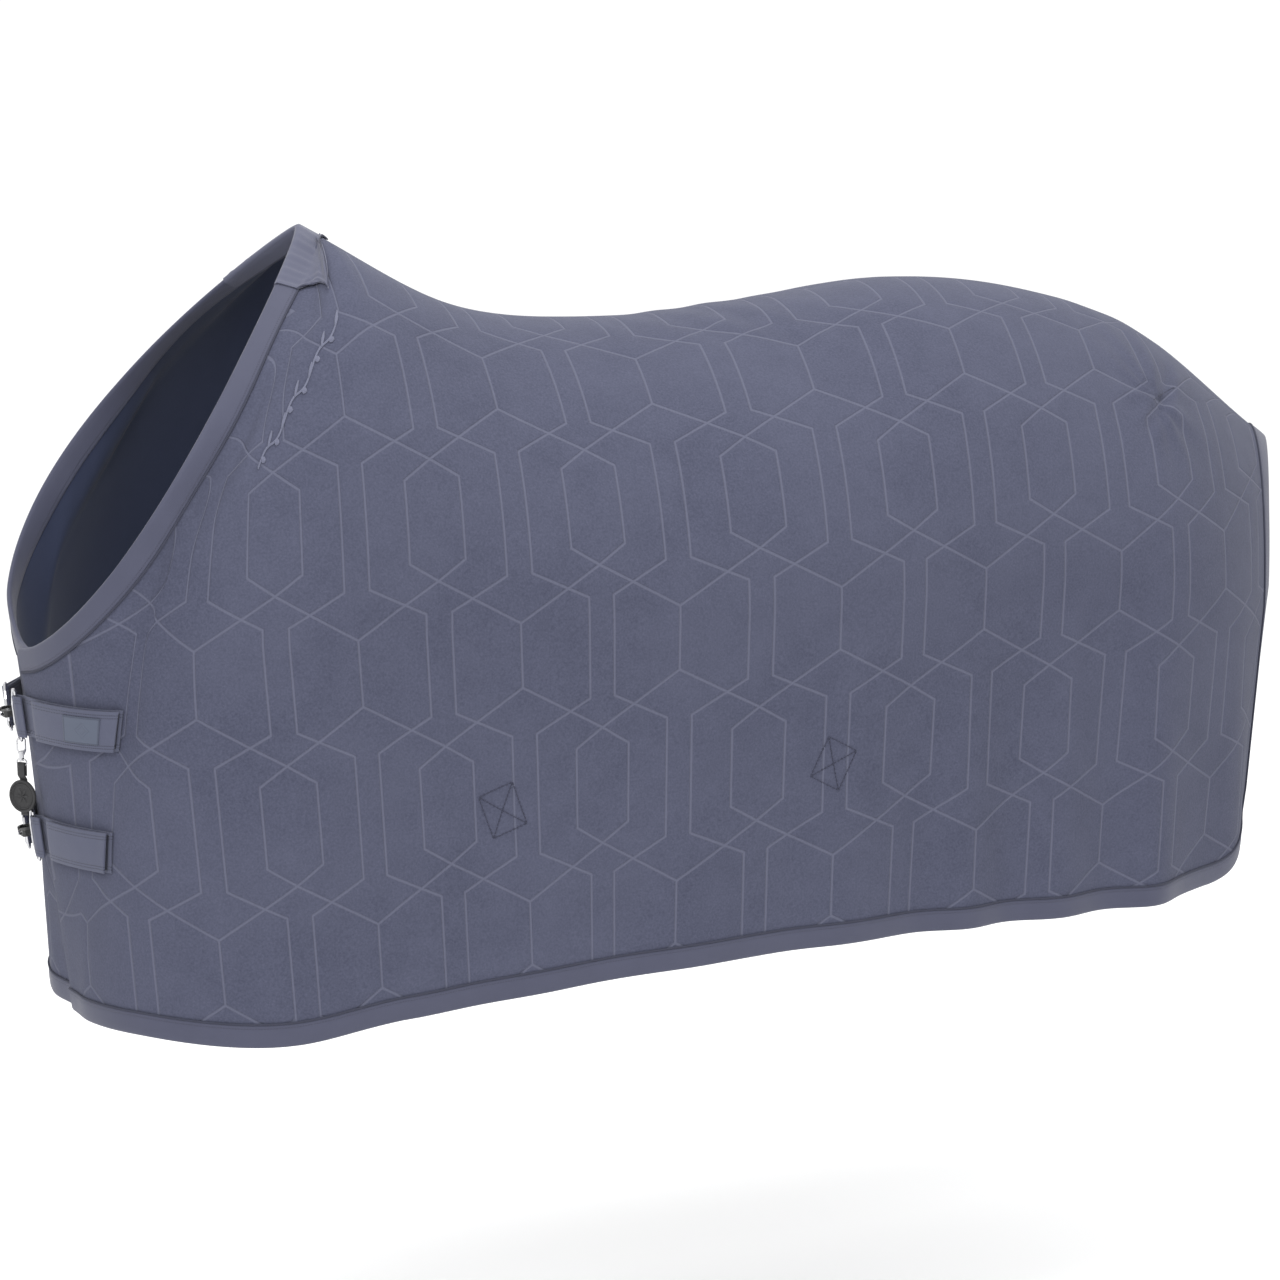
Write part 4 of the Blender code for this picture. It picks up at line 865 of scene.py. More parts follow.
    def stitched_webbing(self, name: str, dark: tuple, light: tuple) -> bpy.types.Material:
        """Return webbing with a fine weave and two rows of stitches near each long edge.

        Args:
            name: the material's name.
            dark: the darker colour.
            light: the lighter colour.

        Returns:
            The material.
        """
        f = Finish(name, 0.78, 0.0, 0.12)
        along, across = f.pair("tape")
        inset = abs(across) - 0.0205
        dash = abs((along / 0.0030).fraction() - 0.5).fade(0.30, 0.40)
        rows = abs(inset).fade(0.0003, 0.0008).most(abs(inset + 0.0035).fade(0.0003, 0.0008))
        stitch = rows * dash
        weave = abs((along / 0.0011).fraction() - 0.5) + abs((across / 0.0011).fraction() - 0.5)
        fine, patchy = f.grain(1600.0, 2.0), f.grain(45.0, 3.0)
        color = f.mix(fine * 0.4 + patchy * 0.6, dark, light)
        color = f.mix(stitch * 0.7, color, tuple(value * 0.45 for value in dark))
        return f.done(color, f.bump(weave * 0.6 + fine * 0.6 + patchy - stitch * 2.0, 0.0004, 0.6))

    def woven_label(self) -> bpy.types.Material:
        """Return the label: a smooth woven patch with a dark edge line and a plain diamond.

        Returns:
            The material.
        """
        f = Finish("woven_label", 0.55, 0.0, 0.05)
        along, across = f.pair("tape")
        ends, sides = abs(abs(along) - 0.0228), abs(abs(across) - 0.0153)
        border = ends.fade(0.0003, 0.0010).most(sides.fade(0.0003, 0.0010))
        diamond = abs(along) + abs(across)
        outer, inner = abs(diamond - 0.0095), abs(diamond - 0.0050)
        mark = outer.fade(0.0004, 0.0010).most(inner.fade(0.0003, 0.0008))
        lines = abs((across / 0.0009).fraction() - 0.5)
        color = f.mix(f.grain(1800.0), (0.0651, 0.0770, 0.1110), (0.0814, 0.0947, 0.1317))
        color = f.mix(border * 0.75, color, (0.040, 0.046, 0.070))
        color = f.mix(mark * 0.5, color, (0.058, 0.066, 0.100))
        return f.done(color, f.bump(lines * 0.5 + border + mark, 0.0003, 0.6))

    def metal(self, name: str, bright: tuple, dull: tuple, roughness: float,
              metallic: float) -> bpy.types.Material:
        """Return a cast metal with faint handling marks.

        Args:
            name: the material's name.
            bright: the cleaner colour.
            dull: the handled colour.
            roughness: how dull it is on average.
            metallic: how metallic it is.

        Returns:
            The material.
        """
        f = Finish(name, roughness, metallic)
        marks, fine = f.grain(160.0, 4.0), f.grain(1400.0, 2.0)
        color = f.mix(marks.fade(0.62, 0.45) * 0.6, bright, dull)
        return f.done(color, f.bump(marks + fine * 0.4, 0.0002, 0.35), marks * 0.22 + (roughness - 0.08))

    def black_leather(self) -> bpy.types.Material:
        """Return black leather with a pebbled grain.

        Returns:
            The material.
        """
        f = Finish("black_leather", 0.55)
        cells = f.node("ShaderNodeTexVoronoi", {"feature": "F1"},
                       {"Vector": f.coords.outputs["Object"], "Scale": 1500.0})
        pebble = Value(f, cells.outputs["Distance"])
        worn = f.grain(120.0, 4.0)
        color = f.mix(worn * 0.6 + pebble * 0.3, (0.014, 0.014, 0.015), (0.048, 0.048, 0.050))
        return f.done(color, f.bump(pebble + worn * 0.5, 0.0004, 0.6), worn * 0.3 + 0.42)


# ================================================================ mesh helpers
def deselect() -> None:
    """Leave nothing selected."""
    for item in bpy.context.view_layer.objects:
        item.select_set(False)


def only(piece: bpy.types.Object) -> None:
    """Select one piece and make it active.

    Args:
        piece: the piece.
    """
    deselect()
    piece.select_set(True)
    bpy.context.view_layer.objects.active = piece


def apply_modifier(piece: bpy.types.Object, kind: str, **settings: object) -> None:
    """Add a modifier, set it and apply it.

    Args:
        piece: the piece.
        kind: the modifier's type.
        settings: the modifier's own settings.
    """
    only(piece)
    step = piece.modifiers.new(kind.lower(), kind)
    for key, value in settings.items():
        setattr(step, key, value)
    bpy.ops.object.modifier_apply(modifier=step.name)


class Cloth:
    """Builds the rug's pieces from grids of points."""

    @staticmethod
    def add(name: str, points: np.ndarray, faces: list, finish: bpy.types.Material,
            uv: np.ndarray | None = None, layer: str = "tape") -> bpy.types.Object:
        """Make an object from points and faces.

        Args:
            name: the piece's name.
            points: one row per vertex.
            faces: vertex numbers of each face.
            finish: its material.
            uv: two numbers per vertex, if the finish follows the surface.
            layer: the UV map's name.

        Returns:
            The piece, smooth shaded.
        """
        mesh = bpy.data.meshes.new(name)
        mesh.from_pydata([tuple(map(float, p)) for p in points], [], faces)
        if uv is not None:
            map_layer = mesh.uv_layers.new(name=layer)
            order = np.zeros(len(mesh.loops), dtype=np.int32)
            mesh.loops.foreach_get("vertex_index", order)
            map_layer.data.foreach_set("uv", np.asarray(uv, np.float32)[order].ravel())
        mesh.materials.append(finish)
        mesh.shade_smooth()
        piece = bpy.data.objects.new(name, mesh)
        bpy.context.scene.collection.objects.link(piece)
        return piece

    @staticmethod
    def grid_faces(rows: int, columns: int, flip: bool, start: int = 0) -> list:
        """Return the faces of a grid whose rows come one after another.

        Args:
            rows: how many rows.
            columns: how many columns.
            flip: whether the faces turn round.
            start: the first point's number.

        Returns:
            The faces, as vertex numbers.
        """
        faces = []
        for i in range(rows - 1):
            for j in range(columns - 1):
                a = start + i * columns + j
                face = (a, a + columns, a + columns + 1, a + 1)
                faces.append(face[::-1] if flip else face)
        return faces

    @classmethod
    def sheet(cls, name: str, grid: np.ndarray, finish: bpy.types.Material, uv: np.ndarray,
              flip: bool, layer: str = "tape") -> bpy.types.Object:
        """Make an open sheet from a grid of points.

        Args:
            name: the piece's name.
            grid: the grid of points.
            finish: its material.
            uv: two numbers per point.
            flip: whether its faces turn round.
            layer: the UV map's name.

        Returns:
            The piece.
        """
        rows, columns = grid.shape[:2]
        return cls.add(name, grid.reshape(-1, 3), cls.grid_faces(rows, columns, flip), finish,
                       uv.reshape(-1, 2), layer)

    @classmethod
    def slab(cls, name: str, lower: np.ndarray, upper: np.ndarray, finish: bpy.types.Material,
             uv: np.ndarray) -> bpy.types.Object:
        """Make a closed strip from two grids, with softened edges.

        Args:
            name: the piece's name.
            lower: the grid of its underside.
            upper: the grid of its outer side.
            finish: its material.
            uv: two numbers per point.

        Returns:
            The piece.
        """
        rows, columns = lower.shape[:2]
        count = rows * columns
        points = np.concatenate([lower.reshape(-1, 3), upper.reshape(-1, 3)])
        faces = cls.grid_faces(rows, columns, True) + cls.grid_faces(rows, columns, False, count)
        rim = [i * columns for i in range(rows)]
        rim += [(rows - 1) * columns + j for j in range(1, columns)]
        rim += [i * columns + columns - 1 for i in range(rows - 2, -1, -1)]
        rim += list(range(columns - 2, 0, -1))
        for a, b in zip(rim, rim[1:] + rim[:1]):
            faces.append((a, b, b + count, a + count))
        piece = cls.add(name, points, faces, finish, np.concatenate([uv.reshape(-1, 2)] * 2))
        cls.face_out(piece)
        apply_modifier(piece, "BEVEL", width=0.0003, segments=2, limit_method="ANGLE",
                       angle_limit=math.radians(70))
        cls.smooth(piece, 60)
        return piece

    @classmethod
    def loft(cls, name: str, rings: np.ndarray, finish: bpy.types.Material,
             uv: np.ndarray) -> bpy.types.Object:
        """Make a closed band from rings of points.

        Args:
            name: the piece's name.
            rings: rings of points, in order.
            finish: its material.
            uv: two numbers per point.

        Returns:
            The piece.
        """
        count, size = rings.shape[:2]
        faces = []
        for i in range(count - 1):
            for k in range(size):
                n = (k + 1) % size
                faces.append((i * size + k, (i + 1) * size + k, (i + 1) * size + n, i * size + n))
        faces += [tuple(range(size)), tuple(range((count - 1) * size, count * size))[::-1]]
        piece = cls.add(name, rings.reshape(-1, 3), faces, finish, uv.reshape(-1, 2))
        cls.face_out(piece)
        cls.smooth(piece, 60)
        return piece

    @staticmethod
    def face_out(piece: bpy.types.Object) -> None:
        """Point a closed piece's faces outwards.

        Args:
            piece: the piece.
        """
        bm = bmesh.new()
        bm.from_mesh(piece.data)
        bmesh.ops.recalc_face_normals(bm, faces=bm.faces[:])
        if bm.calc_volume(signed=True) < 0:
            bmesh.ops.reverse_faces(bm, faces=bm.faces[:])
        bm.to_mesh(piece.data)
        bm.free()

    @staticmethod
    def smooth(piece: bpy.types.Object, degrees: float) -> None:
        """Shade smooth, keeping edges sharper than an angle."""
        piece.data.shade_smooth()
        piece.data.set_sharp_from_angle(angle=math.radians(degrees))

    @staticmethod
    def cord(name: str, paths: list[np.ndarray], radius: float,
             finish: bpy.types.Material) -> bpy.types.Object:
        """Make one or more round threads along paths, as one mesh.

        Args:
            name: the piece's name.
            paths: lines of points.
            radius: the threads' radius.
            finish: its material.

        Returns:
            The piece.
        """
        deselect()
        curve = bpy.data.curves.new(name, "CURVE")
        curve.dimensions, curve.bevel_depth, curve.bevel_resolution = "3D", radius, 2
        curve.use_fill_caps = True
        for path in paths:
            spline = curve.splines.new("POLY")
            spline.points.add(len(path) - 1)
            for point, place in zip(spline.points, path):
                point.co = (*map(float, place), 1.0)
        piece = bpy.data.objects.new(name, curve)
        bpy.context.scene.collection.objects.link(piece)
        only(piece)
        bpy.ops.object.convert(target="MESH")
        piece = bpy.context.view_layer.objects.active
        piece.data.materials.clear()
        piece.data.materials.append(finish)
        piece.data.shade_smooth()
        return piece


def place_piece(piece: bpy.types.Object, body: str, slot: str, *nodes: str) -> bpy.types.Object:
    """Ride a piece on a body and hide the CAD nodes it stands for.

    Args:
        piece: the piece.
        body: the moving body that it rides on.
        slot: its material's slot name; not used.
        nodes: the frame nodes that it stands for.

    Returns:
        The same piece.
    """
    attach(piece, body)
    if nodes:
        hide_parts(*nodes)
    LOG.info("%s: %d faces on %s", piece.name, len(piece.data.polygons), body)
    return piece


# ================================================================ the shell
@dataclass
class Shell:
    """Panels, linings, bindings, pipings and the withers collar."""

    form: RugForm
    drape: Drape
    finishes: Finishes
    panel_columns: int = 300
    panel_rows: int = 170
    piping: float = 0.0013
    neck_piping: float = 0.0014
    tape_half: float = 0.014
    underlap_step: float = 0.01
    rear: float = field(init=False)

    def __post_init__(self) -> None:
        """Work out where the rear binding starts."""
        self.rear = 2.0 - self.form.cut.band / self.form.cut.rear_x

    def stations(self, side: Side, count: int) -> np.ndarray:
        """Return stations from the chest to the rear binding.

        Args:
            side: which of the horse's sides.
            count: how many stations.

        Returns:
            The stations, in order.
        """
        start = 0.0 if side is Side.LEFT else -self.form.cut.underlap
        chest = np.linspace(start, 1.0, int(count * 0.30))
        return np.concatenate((chest, np.linspace(1.0, self.rear, int(count * 0.70) + 1)[1:]))

    def layer(self, side: Side, count: int, rows: int, out: float) -> tuple[np.ndarray, np.ndarray]:
        """Return a layer's grid of points and its pattern coordinates.

        Args:
            side: which of the horse's sides.
            count: how many stations.
            rows: how many points down each station.
            out: distance outwards from the cloth.

        Returns:
            The points and their coordinates.
        """
        grid, uv = [], []
        for s in self.stations(side, count):
            shares = np.linspace(0.0, self.form.band_start(abs(s)), rows)
            grid.append(self.form.cloth(side, s, shares, out + self.drape.lift(side, s, shares)))
            uv.append(self.form.pattern(s, shares))
        return np.array(grid), np.array(uv)

    def panel(self, side: Side) -> bpy.types.Object:
        """Build one fleece panel with its turned front edge.

        Args:
            side: which of the horse's sides.

        Returns:
            The piece.
        """
        cut = self.form.cut
        grid, uv = self.layer(side, self.panel_columns, self.panel_rows, cut.face)
        first = self.stations(side, self.panel_columns)[0]
        shares = np.linspace(0.0, self.form.band_start(abs(first)), self.panel_rows)
        turned = [self.form.cloth(side, first, shares, out) for out in (-cut.lining, 0.0004, 0.0015)]
        front = [row + (grid[0] - grid[1]) * push for row, push in zip(turned, (0.05, 0.18, 0.12))]
        grid = np.concatenate([np.array(front), grid])
        uv = np.concatenate([uv[:1]] * 3 + [uv])
        name = side.name.lower()
        piece = Cloth.sheet(f"{name}_fleece_panel", grid, self.finishes.fleece, uv,
                            side is Side.RIGHT, "pattern")
        place_piece(piece, "rug", "embossed_fleece", f"{name}_panel")
        return piece

    def lining(self, side: Side) -> bpy.types.Object:
        """Build one lining, facing the horse.

        Args:
            side: which of the horse's sides.

        Returns:
            The piece.
        """
        grid, uv = self.layer(side, self.panel_columns // 2, 90, -self.form.cut.lining)
        name = side.name.lower()
        # The lining's finish is navy cloth darkened with painted shade.
        piece = Cloth.sheet(f"{name}_smooth_lining", grid, self.finishes.lining, uv, side is Side.LEFT)
        place_piece(piece, "rug", "navy_lining", f"{name}_lining")
        return piece

    def band_profile(self) -> list[tuple[float, float]]:
        """Return the folded binding's section: share across, height.

        Returns:
            The points round the section.
        """
        top = [(-0.02, 0.0016), (0.0, 0.0030), (0.06, 0.0036), (0.30, 0.0038), (0.62, 0.0037),
               (0.86, 0.0033), (0.96, 0.0022), (1.0, 0.0007)]
        return top + [(a, -h) for a, h in reversed(top)]

    def band_rings(self, lines: list) -> tuple[np.ndarray, np.ndarray]:
        """Return a binding's rings from its inner line, edge and normals.

        Args:
            lines: one entry per station: inner line, edge, and the outward direction at each.

        Returns:
            The rings, and two numbers per point.
        """
        rings, uv, run, last = [], [], 0.0, None
        for inner, edge, inner_normal, edge_normal in lines:
            run += 0.0 if last is None else float(np.linalg.norm(inner - last))
            last = inner
            width = float(np.linalg.norm(edge - inner))
            ring = [inner + (edge - inner) * a + (inner_normal * (1 - a) + edge_normal * a) * h
                    for a, h in self.band_profile()]
            rings.append(ring)
            uv.append([(run, a * width) for a, _ in self.band_profile()])
        return np.array(rings), np.array(uv)

    def hem_lines(self, side: Side) -> list:
        """Return the hem binding's lines: along the hem, round the corner and up the rear.

        Args:
            side: which of the horse's sides.

        Returns:
            One entry per station.
        """
        form, lines = self.form, []
        for s in self.stations(side, 330):
            v = np.array([form.band_start(abs(s)), 1.0])
            lift = self.drape.lift(side, s, v)
            at, tip = form.cloth(side, s, v, lift), form.cloth(side, s, v, lift + 1.0)
            lines.append((at[0], at[1], tip[0] - at[0], tip[0] - at[0]))
        start = form.band_start(self.rear)
        corner = form.cloth(side, self.rear, np.array([start]))[0]
        normal = form.cloth(side, self.rear, np.array([start]), 1.0)[0] - corner
        for share in (0.25, 0.5, 0.75):
            s = self.rear + (2.0 - self.rear) * share
            lines.append((corner, form.cloth(side, s, np.array([1.0]))[0], normal, normal))
        for v in np.linspace(start, 0.0, 110):
            inner = form.cloth(side, self.rear, np.array([v]))[0]
            edge = form.cloth(side, 2.0, np.array([v]))[0]
            inner_normal = form.cloth(side, self.rear, np.array([v]), 1.0)[0] - inner
            edge_normal = form.cloth(side, 2.0, np.array([v]), 1.0)[0] - edge
            if v == start:
                edge = form.cloth(side, 2.0, np.array([1.0]))[0]
            lines.append((inner, edge, inner_normal, edge_normal))
        return lines

    def hem(self, side: Side) -> None:
        """Build the hem binding and its dark piping.

        Args:
            side: which of the horse's sides.
        """
        name, lines = side.name.lower(), self.hem_lines(side)
        rings, uv = self.band_rings(lines)
        band = Cloth.loft(f"{name}_folded_hem_binding", rings, self.finishes.binding, uv)
        place_piece(band, "rug", "binding_tape", f"{name}_hem_binding")
        path = [inner - unit(edge - inner) * 0.0012 + normal * 0.0032 for inner, edge, normal, _ in lines]
        cord = Cloth.cord(f"{name}_round_hem_piping", [np.array(path)], self.piping,
                          self.finishes.piping)
        place_piece(cord, "rug", "piping_cord", f"{name}_hem_piping")

    def neck_line(self, side: Side, k: float) -> tuple:
        """Return the neckline binding's inner line, edge and normal.

        Args:
            side: which of the horse's sides.
            k: how far up the neckline, 0 at the chest to 1 at the withers.

        Returns:
            The three of them.
        """
        form = self.form
        flat = np.array((1.0, -side.value if k >= 0 else side.value, 1.0))
        at = form.cloth(side, k, 0.0)[0]
        normal = form.cloth(side, k, 0.0, 1.0)[0] - at
        shift = at - form.column(abs(k), np.array([0.0]))[0] * flat
        if k > 0.999:
            shift, normal = shift * 0.0, normal * np.array((1.0, 0.0, 1.0))
        inner, edge = form.neck_inner(abs(k)) * flat + shift, form.neck_edge(abs(k)) * flat + shift
        across = unit(edge - inner)
        return inner, edge, unit(normal - across * float(normal @ across))

    def neck(self) -> None:
        """Build the neckline binding and its piping."""
        chest = 1 - np.linspace(1.0, 0.0, 110)**1.25
        places = [(Side.LEFT, float(k)) for k in chest] + [(Side.RIGHT, float(k)) for k in chest[::-1][1:]]
        under = round(self.form.cut.underlap / self.underlap_step)
        places += [(Side.RIGHT, -self.underlap_step * i) for i in range(1, under + 1)]
        lines = [(inner, edge, normal, normal) for inner, edge, normal in
                 (self.neck_line(side, k) for side, k in places)]
        rings, uv = self.band_rings(lines)
        band = Cloth.loft("folded_neck_binding", rings, self.finishes.binding, uv)
        place_piece(band, "rug", "binding_tape", "neck_binding")
        shown = [line for (side, k), line in zip(places, lines) if side is Side.LEFT or k > 0.02]
        path = [inner - unit(edge - inner) * 0.0008 + normal * 0.0034 for inner, edge, normal, _ in shown]
        cord = Cloth.cord("round_neck_piping", [np.array(path)], self.neck_piping, self.finishes.piping)
        place_piece(cord, "rug", "piping_cord", "neck_piping")

    def tape(self) -> None:
        """Build the tape inside the back seam."""
        lower, upper, uv = [], [], []
        half = self.tape_half
        for s in np.linspace(1.0, self.rear, 140):
            share = half / self.form.length(s)
            rows = [(Side.LEFT, share), (Side.LEFT, share / 2), (Side.LEFT, 0.0), (Side.RIGHT, share / 2),
                    (Side.RIGHT, share)]
            for grid, out in ((upper, -0.0023), (lower, -0.0035)):
                grid.append([self.form.cloth(side, s, v, out)[0] for side, v in rows])
            uv.append([(s * self.form.cut.rear_x, half * (i - 2) / 2) for i in range(5)])
        piece = Cloth.slab("back_seam_tape", np.array(lower), np.array(upper), self.finishes.navy_web,
                           np.array(uv))
        place_piece(piece, "rug", "dark_webbing", "spine_seam_tape")

    def build(self) -> None:
        """Build the whole shell."""
        for side in Side:
            self.panel(side)
            self.lining(side)
            self.hem(side)
        self.neck()
        Collar(self).build()
        self.tape()


@dataclass
class Collar:
    """The smooth patch folded over the neckline at the withers, with its edge stitching."""

    shell: Shell
    corner: float = 0.45
    reach: float = 0.092
    neck_share: float = 0.125
    front_station: float = 0.952
    seam_station: float = 1.008
    stand: float = 0.0050
    lie: float = 0.0058
    thick: float = 0.0014
    stitch: float = 0.0004

    def end(self, size: float, k: float) -> tuple[float, float]:
        """Return the flap's end as its station and how far down the cloth it is.

        Args:
            size: how far from the middle, 0 to 1.
            k: where the row leaves the neckline.

        Returns:
            The station and the distance.
        """
        if size < self.corner:
            part = size / self.corner
            return self.seam_station - (self.seam_station - self.front_station) * part, self.reach * part
        part = (size - self.corner) / (1 - self.corner)
        return self.front_station + (k - self.front_station) * part, self.reach * (1 - part)

    def fold(self, line: tuple, up: float) -> list[np.ndarray]:
        """Return the part that wraps the binding, from inside the neckline to its outer face.

        Args:
            line: the binding's inner point, edge and outward direction.
            up: height above the binding.

        Returns:
            The points.
        """
        inner, edge, normal = line
        away = unit(edge - inner)
        row = [inner + away * 0.004 - normal * 0.0044, inner + away * 0.018 - normal * 0.0046,
               edge - away * 0.001 - normal * 0.0042, edge + away * 0.0009 - normal * 0.0022,
               edge + away * 0.0014, edge + away * 0.0009 + normal * 0.0026,
               edge - away * 0.002 + normal * up * 0.95]
        shares = (0.80, 0.60, 0.40, 0.20, 0.02)
        return row + [inner + (edge - inner) * share + normal * up for share in shares]

    def flap(self, side: Side, q: float, k: float, normal: np.ndarray, up: float) -> list[np.ndarray]:
        """Return the part that lies on the fleece.

        Args:
            side: which of the horse's sides.
            q: place across the patch, -1 left to 1 right.
            k: where the row leaves the neckline.
            normal: outward direction at the neckline.
            up: height at the fold.

        Returns:
            The points.
        """
        form, row = self.shell.form, []
        end_s, end_drop = self.end(abs(q), k)
        for share in np.linspace(0.06, 1.0, 16):
            s = k + (end_s - k) * share
            v = max(end_drop * share / form.length(s), 0.0004)
            wave = 0.0010 * math.sin(share * 9.0 + q * 14.0) + 0.0006 * math.sin(share * 19.0 - q * 21.0)
            lift = self.lie + wave * min(1.0, share * 3.0) * min(1.0, (1.03 - share) * 6.0)
            if share < 0.3:
                lift += (up - lift) * (1 - share / 0.3)**2 * 0.5
            at = form.cloth(side, s, v, 0.0)[0]
            facing = form.cloth(side, s, v, 1.0)[0] - at
            row.append(at + unit(normal * (1 - 0.6 * share) + facing * 0.6 * share) * lift)
        return row

    def build(self) -> None:
        """Build the patch, then the thread along its edge."""
        grid, uv = [], []
        for q in np.linspace(-1.0, 1.0, 91):
            side = Side.LEFT if q < 0 else Side.RIGHT
            k = 1.0 - self.neck_share * abs(float(q))**0.9
            line = self.shell.neck_line(side, k)
            up = self.stand + 0.0005 * math.sin(q * 23.0) + 0.0004 * math.sin(q * 51.0 + 1.0)
            row = self.fold(line, up) + self.flap(side, float(q), k, line[2], up)
            runs = np.concatenate(([0.0], np.cumsum(np.linalg.norm(np.diff(np.array(row), axis=0), axis=1))))
            grid.append(row)
            uv.append([(q * 0.06, run) for run in runs])
        finishes = self.shell.finishes
        piece = Cloth.sheet("folded_withers_collar", np.array(grid), finishes.collar, np.array(uv), True)
        apply_modifier(piece, "SOLIDIFY", thickness=self.thick, offset=-1.0)
        Cloth.face_out(piece)
        Cloth.smooth(piece, 60)
        place_piece(piece, "rug", "collar_fabric", "withers_collar")
        halves = (grid[:46], grid[46:])
        rims = [np.array([row[-2] * 0.75 + row[-1] * 0.25 for row in rows]) for rows in halves]
        seam = Cloth.cord("collar_edge_stitching", rims, self.stitch, finishes.thread)
        place_piece(seam, "rug", "collar_fabric")


# ================================================================ stitching
@dataclass(frozen=True)
class StrapPatch:
    """Where a surcingle is sewn on, as a box seen from the side."""

    name: str
    middle: tuple[float, float, float]
    turn: float
    near: tuple[float, float]
    half_wide: float = 0.0228
    half_high: float = 0.0277

    def corners(self) -> list[np.ndarray]:
        """Return the box's corners in order round it.

        Returns:
            The four corners.
        """
        along = np.array((math.cos(self.turn), 0.0, math.sin(self.turn))) * self.half_wide
        down = np.array((math.sin(self.turn), 0.0, -math.cos(self.turn))) * self.half_high
        signs = ((-1, -1), (1, -1), (1, 1), (-1, 1))
        return [np.array(self.middle) + along * a + down * b for a, b in signs]


@dataclass
class Stitching:
    """Threads sewn on the left panel: the strap patches' boxes and the neckline flourish."""

    form: RugForm
    drape: Drape
    finishes: Finishes
    patches: tuple[StrapPatch, ...] = (
        StrapPatch("front_strap_stitching", (0.1293, -0.288, -0.6907), math.radians(19.4), (1.09, 0.7)),
        StrapPatch("rear_strap_stitching", (0.5810, -0.315, -0.6750), math.radians(-28.0), (1.4, 0.7)))
    rise: float = 0.0007
    box_thread: float = 0.00062
    dart_thread: float = 0.0008
    vine_thread: float = 0.00080
    vine_wave: float = 0.0060
    vine_gap: float = 0.0007
    leaves: int = 12
    leaf_long: float = 0.0105
    leaf_half: float = 0.0026

    def on_cloth(self, s: float, v: float, out: float = 0.0) -> np.ndarray:
        """Return a point just above the left panel's fleece.

        Args:
            s: the station, 0 at the chest, 1 at the shoulder, 2 at the rear.
            v: share of the cloth's length.
            out: height above the fleece.

        Returns:
            The point.
        """
        shares = np.array([v])
        lift = self.drape.lift(Side.LEFT, s, shares) + self.form.cut.face + out
        return self.form.cloth(Side.LEFT, s, shares, lift)[0]

    def stitches(self, start: np.ndarray, end: np.ndarray, out: float,
                 step: float = 0.0052) -> list[np.ndarray]:
        """Return short threads in a row between two (station, share) places.

        Args:
            start: station and share of the first.
            end: station and share of the last.
            out: how high a stitch stands.
            step: the length of one stitch.

        Returns:
            One line of points per stitch.
        """
        a, b = self.on_cloth(*start), self.on_cloth(*end)
        count = max(2, round(float(np.linalg.norm(b - a)) / step))
        threads = []
        heights = (-0.0006, out, out * 1.3, out, -0.0006)
        for i in range(count):
            ends = [(i + share) / count for share in (0.08, 0.30, 0.50, 0.70, 0.92)]
            threads.append(np.array([self.on_cloth(*(start + (end - start) * t), h)
                                     for t, h in zip(ends, heights)]))
        return threads

    def patch_box(self, patch: StrapPatch) -> None:
        """Sew a box with a cross in it.

        Args:
            patch: the patch.
        """
        places = [np.array(self.form.find(corner, patch.near)) for corner in patch.corners()]
        threads = []
        for a, b in ((0, 1), (1, 2), (2, 3), (3, 0), (0, 2), (1, 3)):
            threads += self.stitches(places[a], places[b], self.rise)
        piece = Cloth.cord(patch.name, threads, self.box_thread, self.finishes.thread)
        place_piece(piece, "rug", "embossed_fleece")

    def dart(self) -> None:
        """Sew the haunch dart shut."""
        ends = [np.array(self.form.find(np.array(place), near)) for place, near in
                (((1.150, -0.205, -0.262), (1.75, 0.2)), ((1.226, -0.200, -0.226), (1.8, 0.2)))]
        steps = np.linspace(0.0, 1.0, 24)
        line = [self.on_cloth(*(ends[0] + (ends[1] - ends[0]) * t), -0.0001) for t in steps]
        piece = Cloth.cord("haunch_dart_seam", [np.array(line)], self.dart_thread, self.finishes.thread)
        place_piece(piece, "rug", "embossed_fleece")

    def flourish(self) -> None:
        """Sew a plain leafy vine along the neckline."""
        ends = [np.array(self.form.find(np.array(place), near)) for place, near in
                (((-0.146, -0.218, -0.270), (0.62, 0.06)), ((-0.021, -0.170, -0.096), (0.95, 0.10)))]
        length = float(np.linalg.norm(self.on_cloth(*ends[1]) - self.on_cloth(*ends[0])))

        def spot(t: float, rise: float, out: float) -> np.ndarray:
            """Return a point beside the vine's middle line."""
            s, v = ends[0] + (ends[1] - ends[0]) * t
            return self.on_cloth(float(s), float(v) - rise / self.form.length(float(s)), out)

        threads = []
        for shift in (-self.vine_gap, self.vine_gap):
            threads.append(np.array([spot(t, self.vine_wave * math.sin(t * math.pi * 6) + shift, 0.0010)
                                     for t in np.linspace(0.0, 1.0, 120)]))
        for i in range(self.leaves):
            root = (i + 0.5) / self.leaves
            way = 1 if i % 2 else -1
            base = self.vine_wave * math.sin(root * math.pi * 6)
            for turn in np.linspace(-1.0, 1.0, 7):
                leaf, height = [], 0.0010 + 0.0005 * (1 - turn * turn)
                for u in np.linspace(0.0, 1.0, 9):
                    bulge = math.sin(u * math.pi) * turn * self.leaf_half
                    along = root + (u * self.leaf_long - bulge * way * 0.7) / length
                    leaf.append(spot(along, base + way * u * self.leaf_long + bulge * 0.7, height))
                threads.append(np.array(leaf))
        piece = Cloth.cord("leafy_neck_stitching", threads, self.vine_thread, self.finishes.flourish)
        place_piece(piece, "rug", "embossed_fleece")

    def build(self) -> None:
        """Sew every pattern of thread."""
        for patch in self.patches:
            self.patch_box(patch)
        self.dart()
        self.flourish()


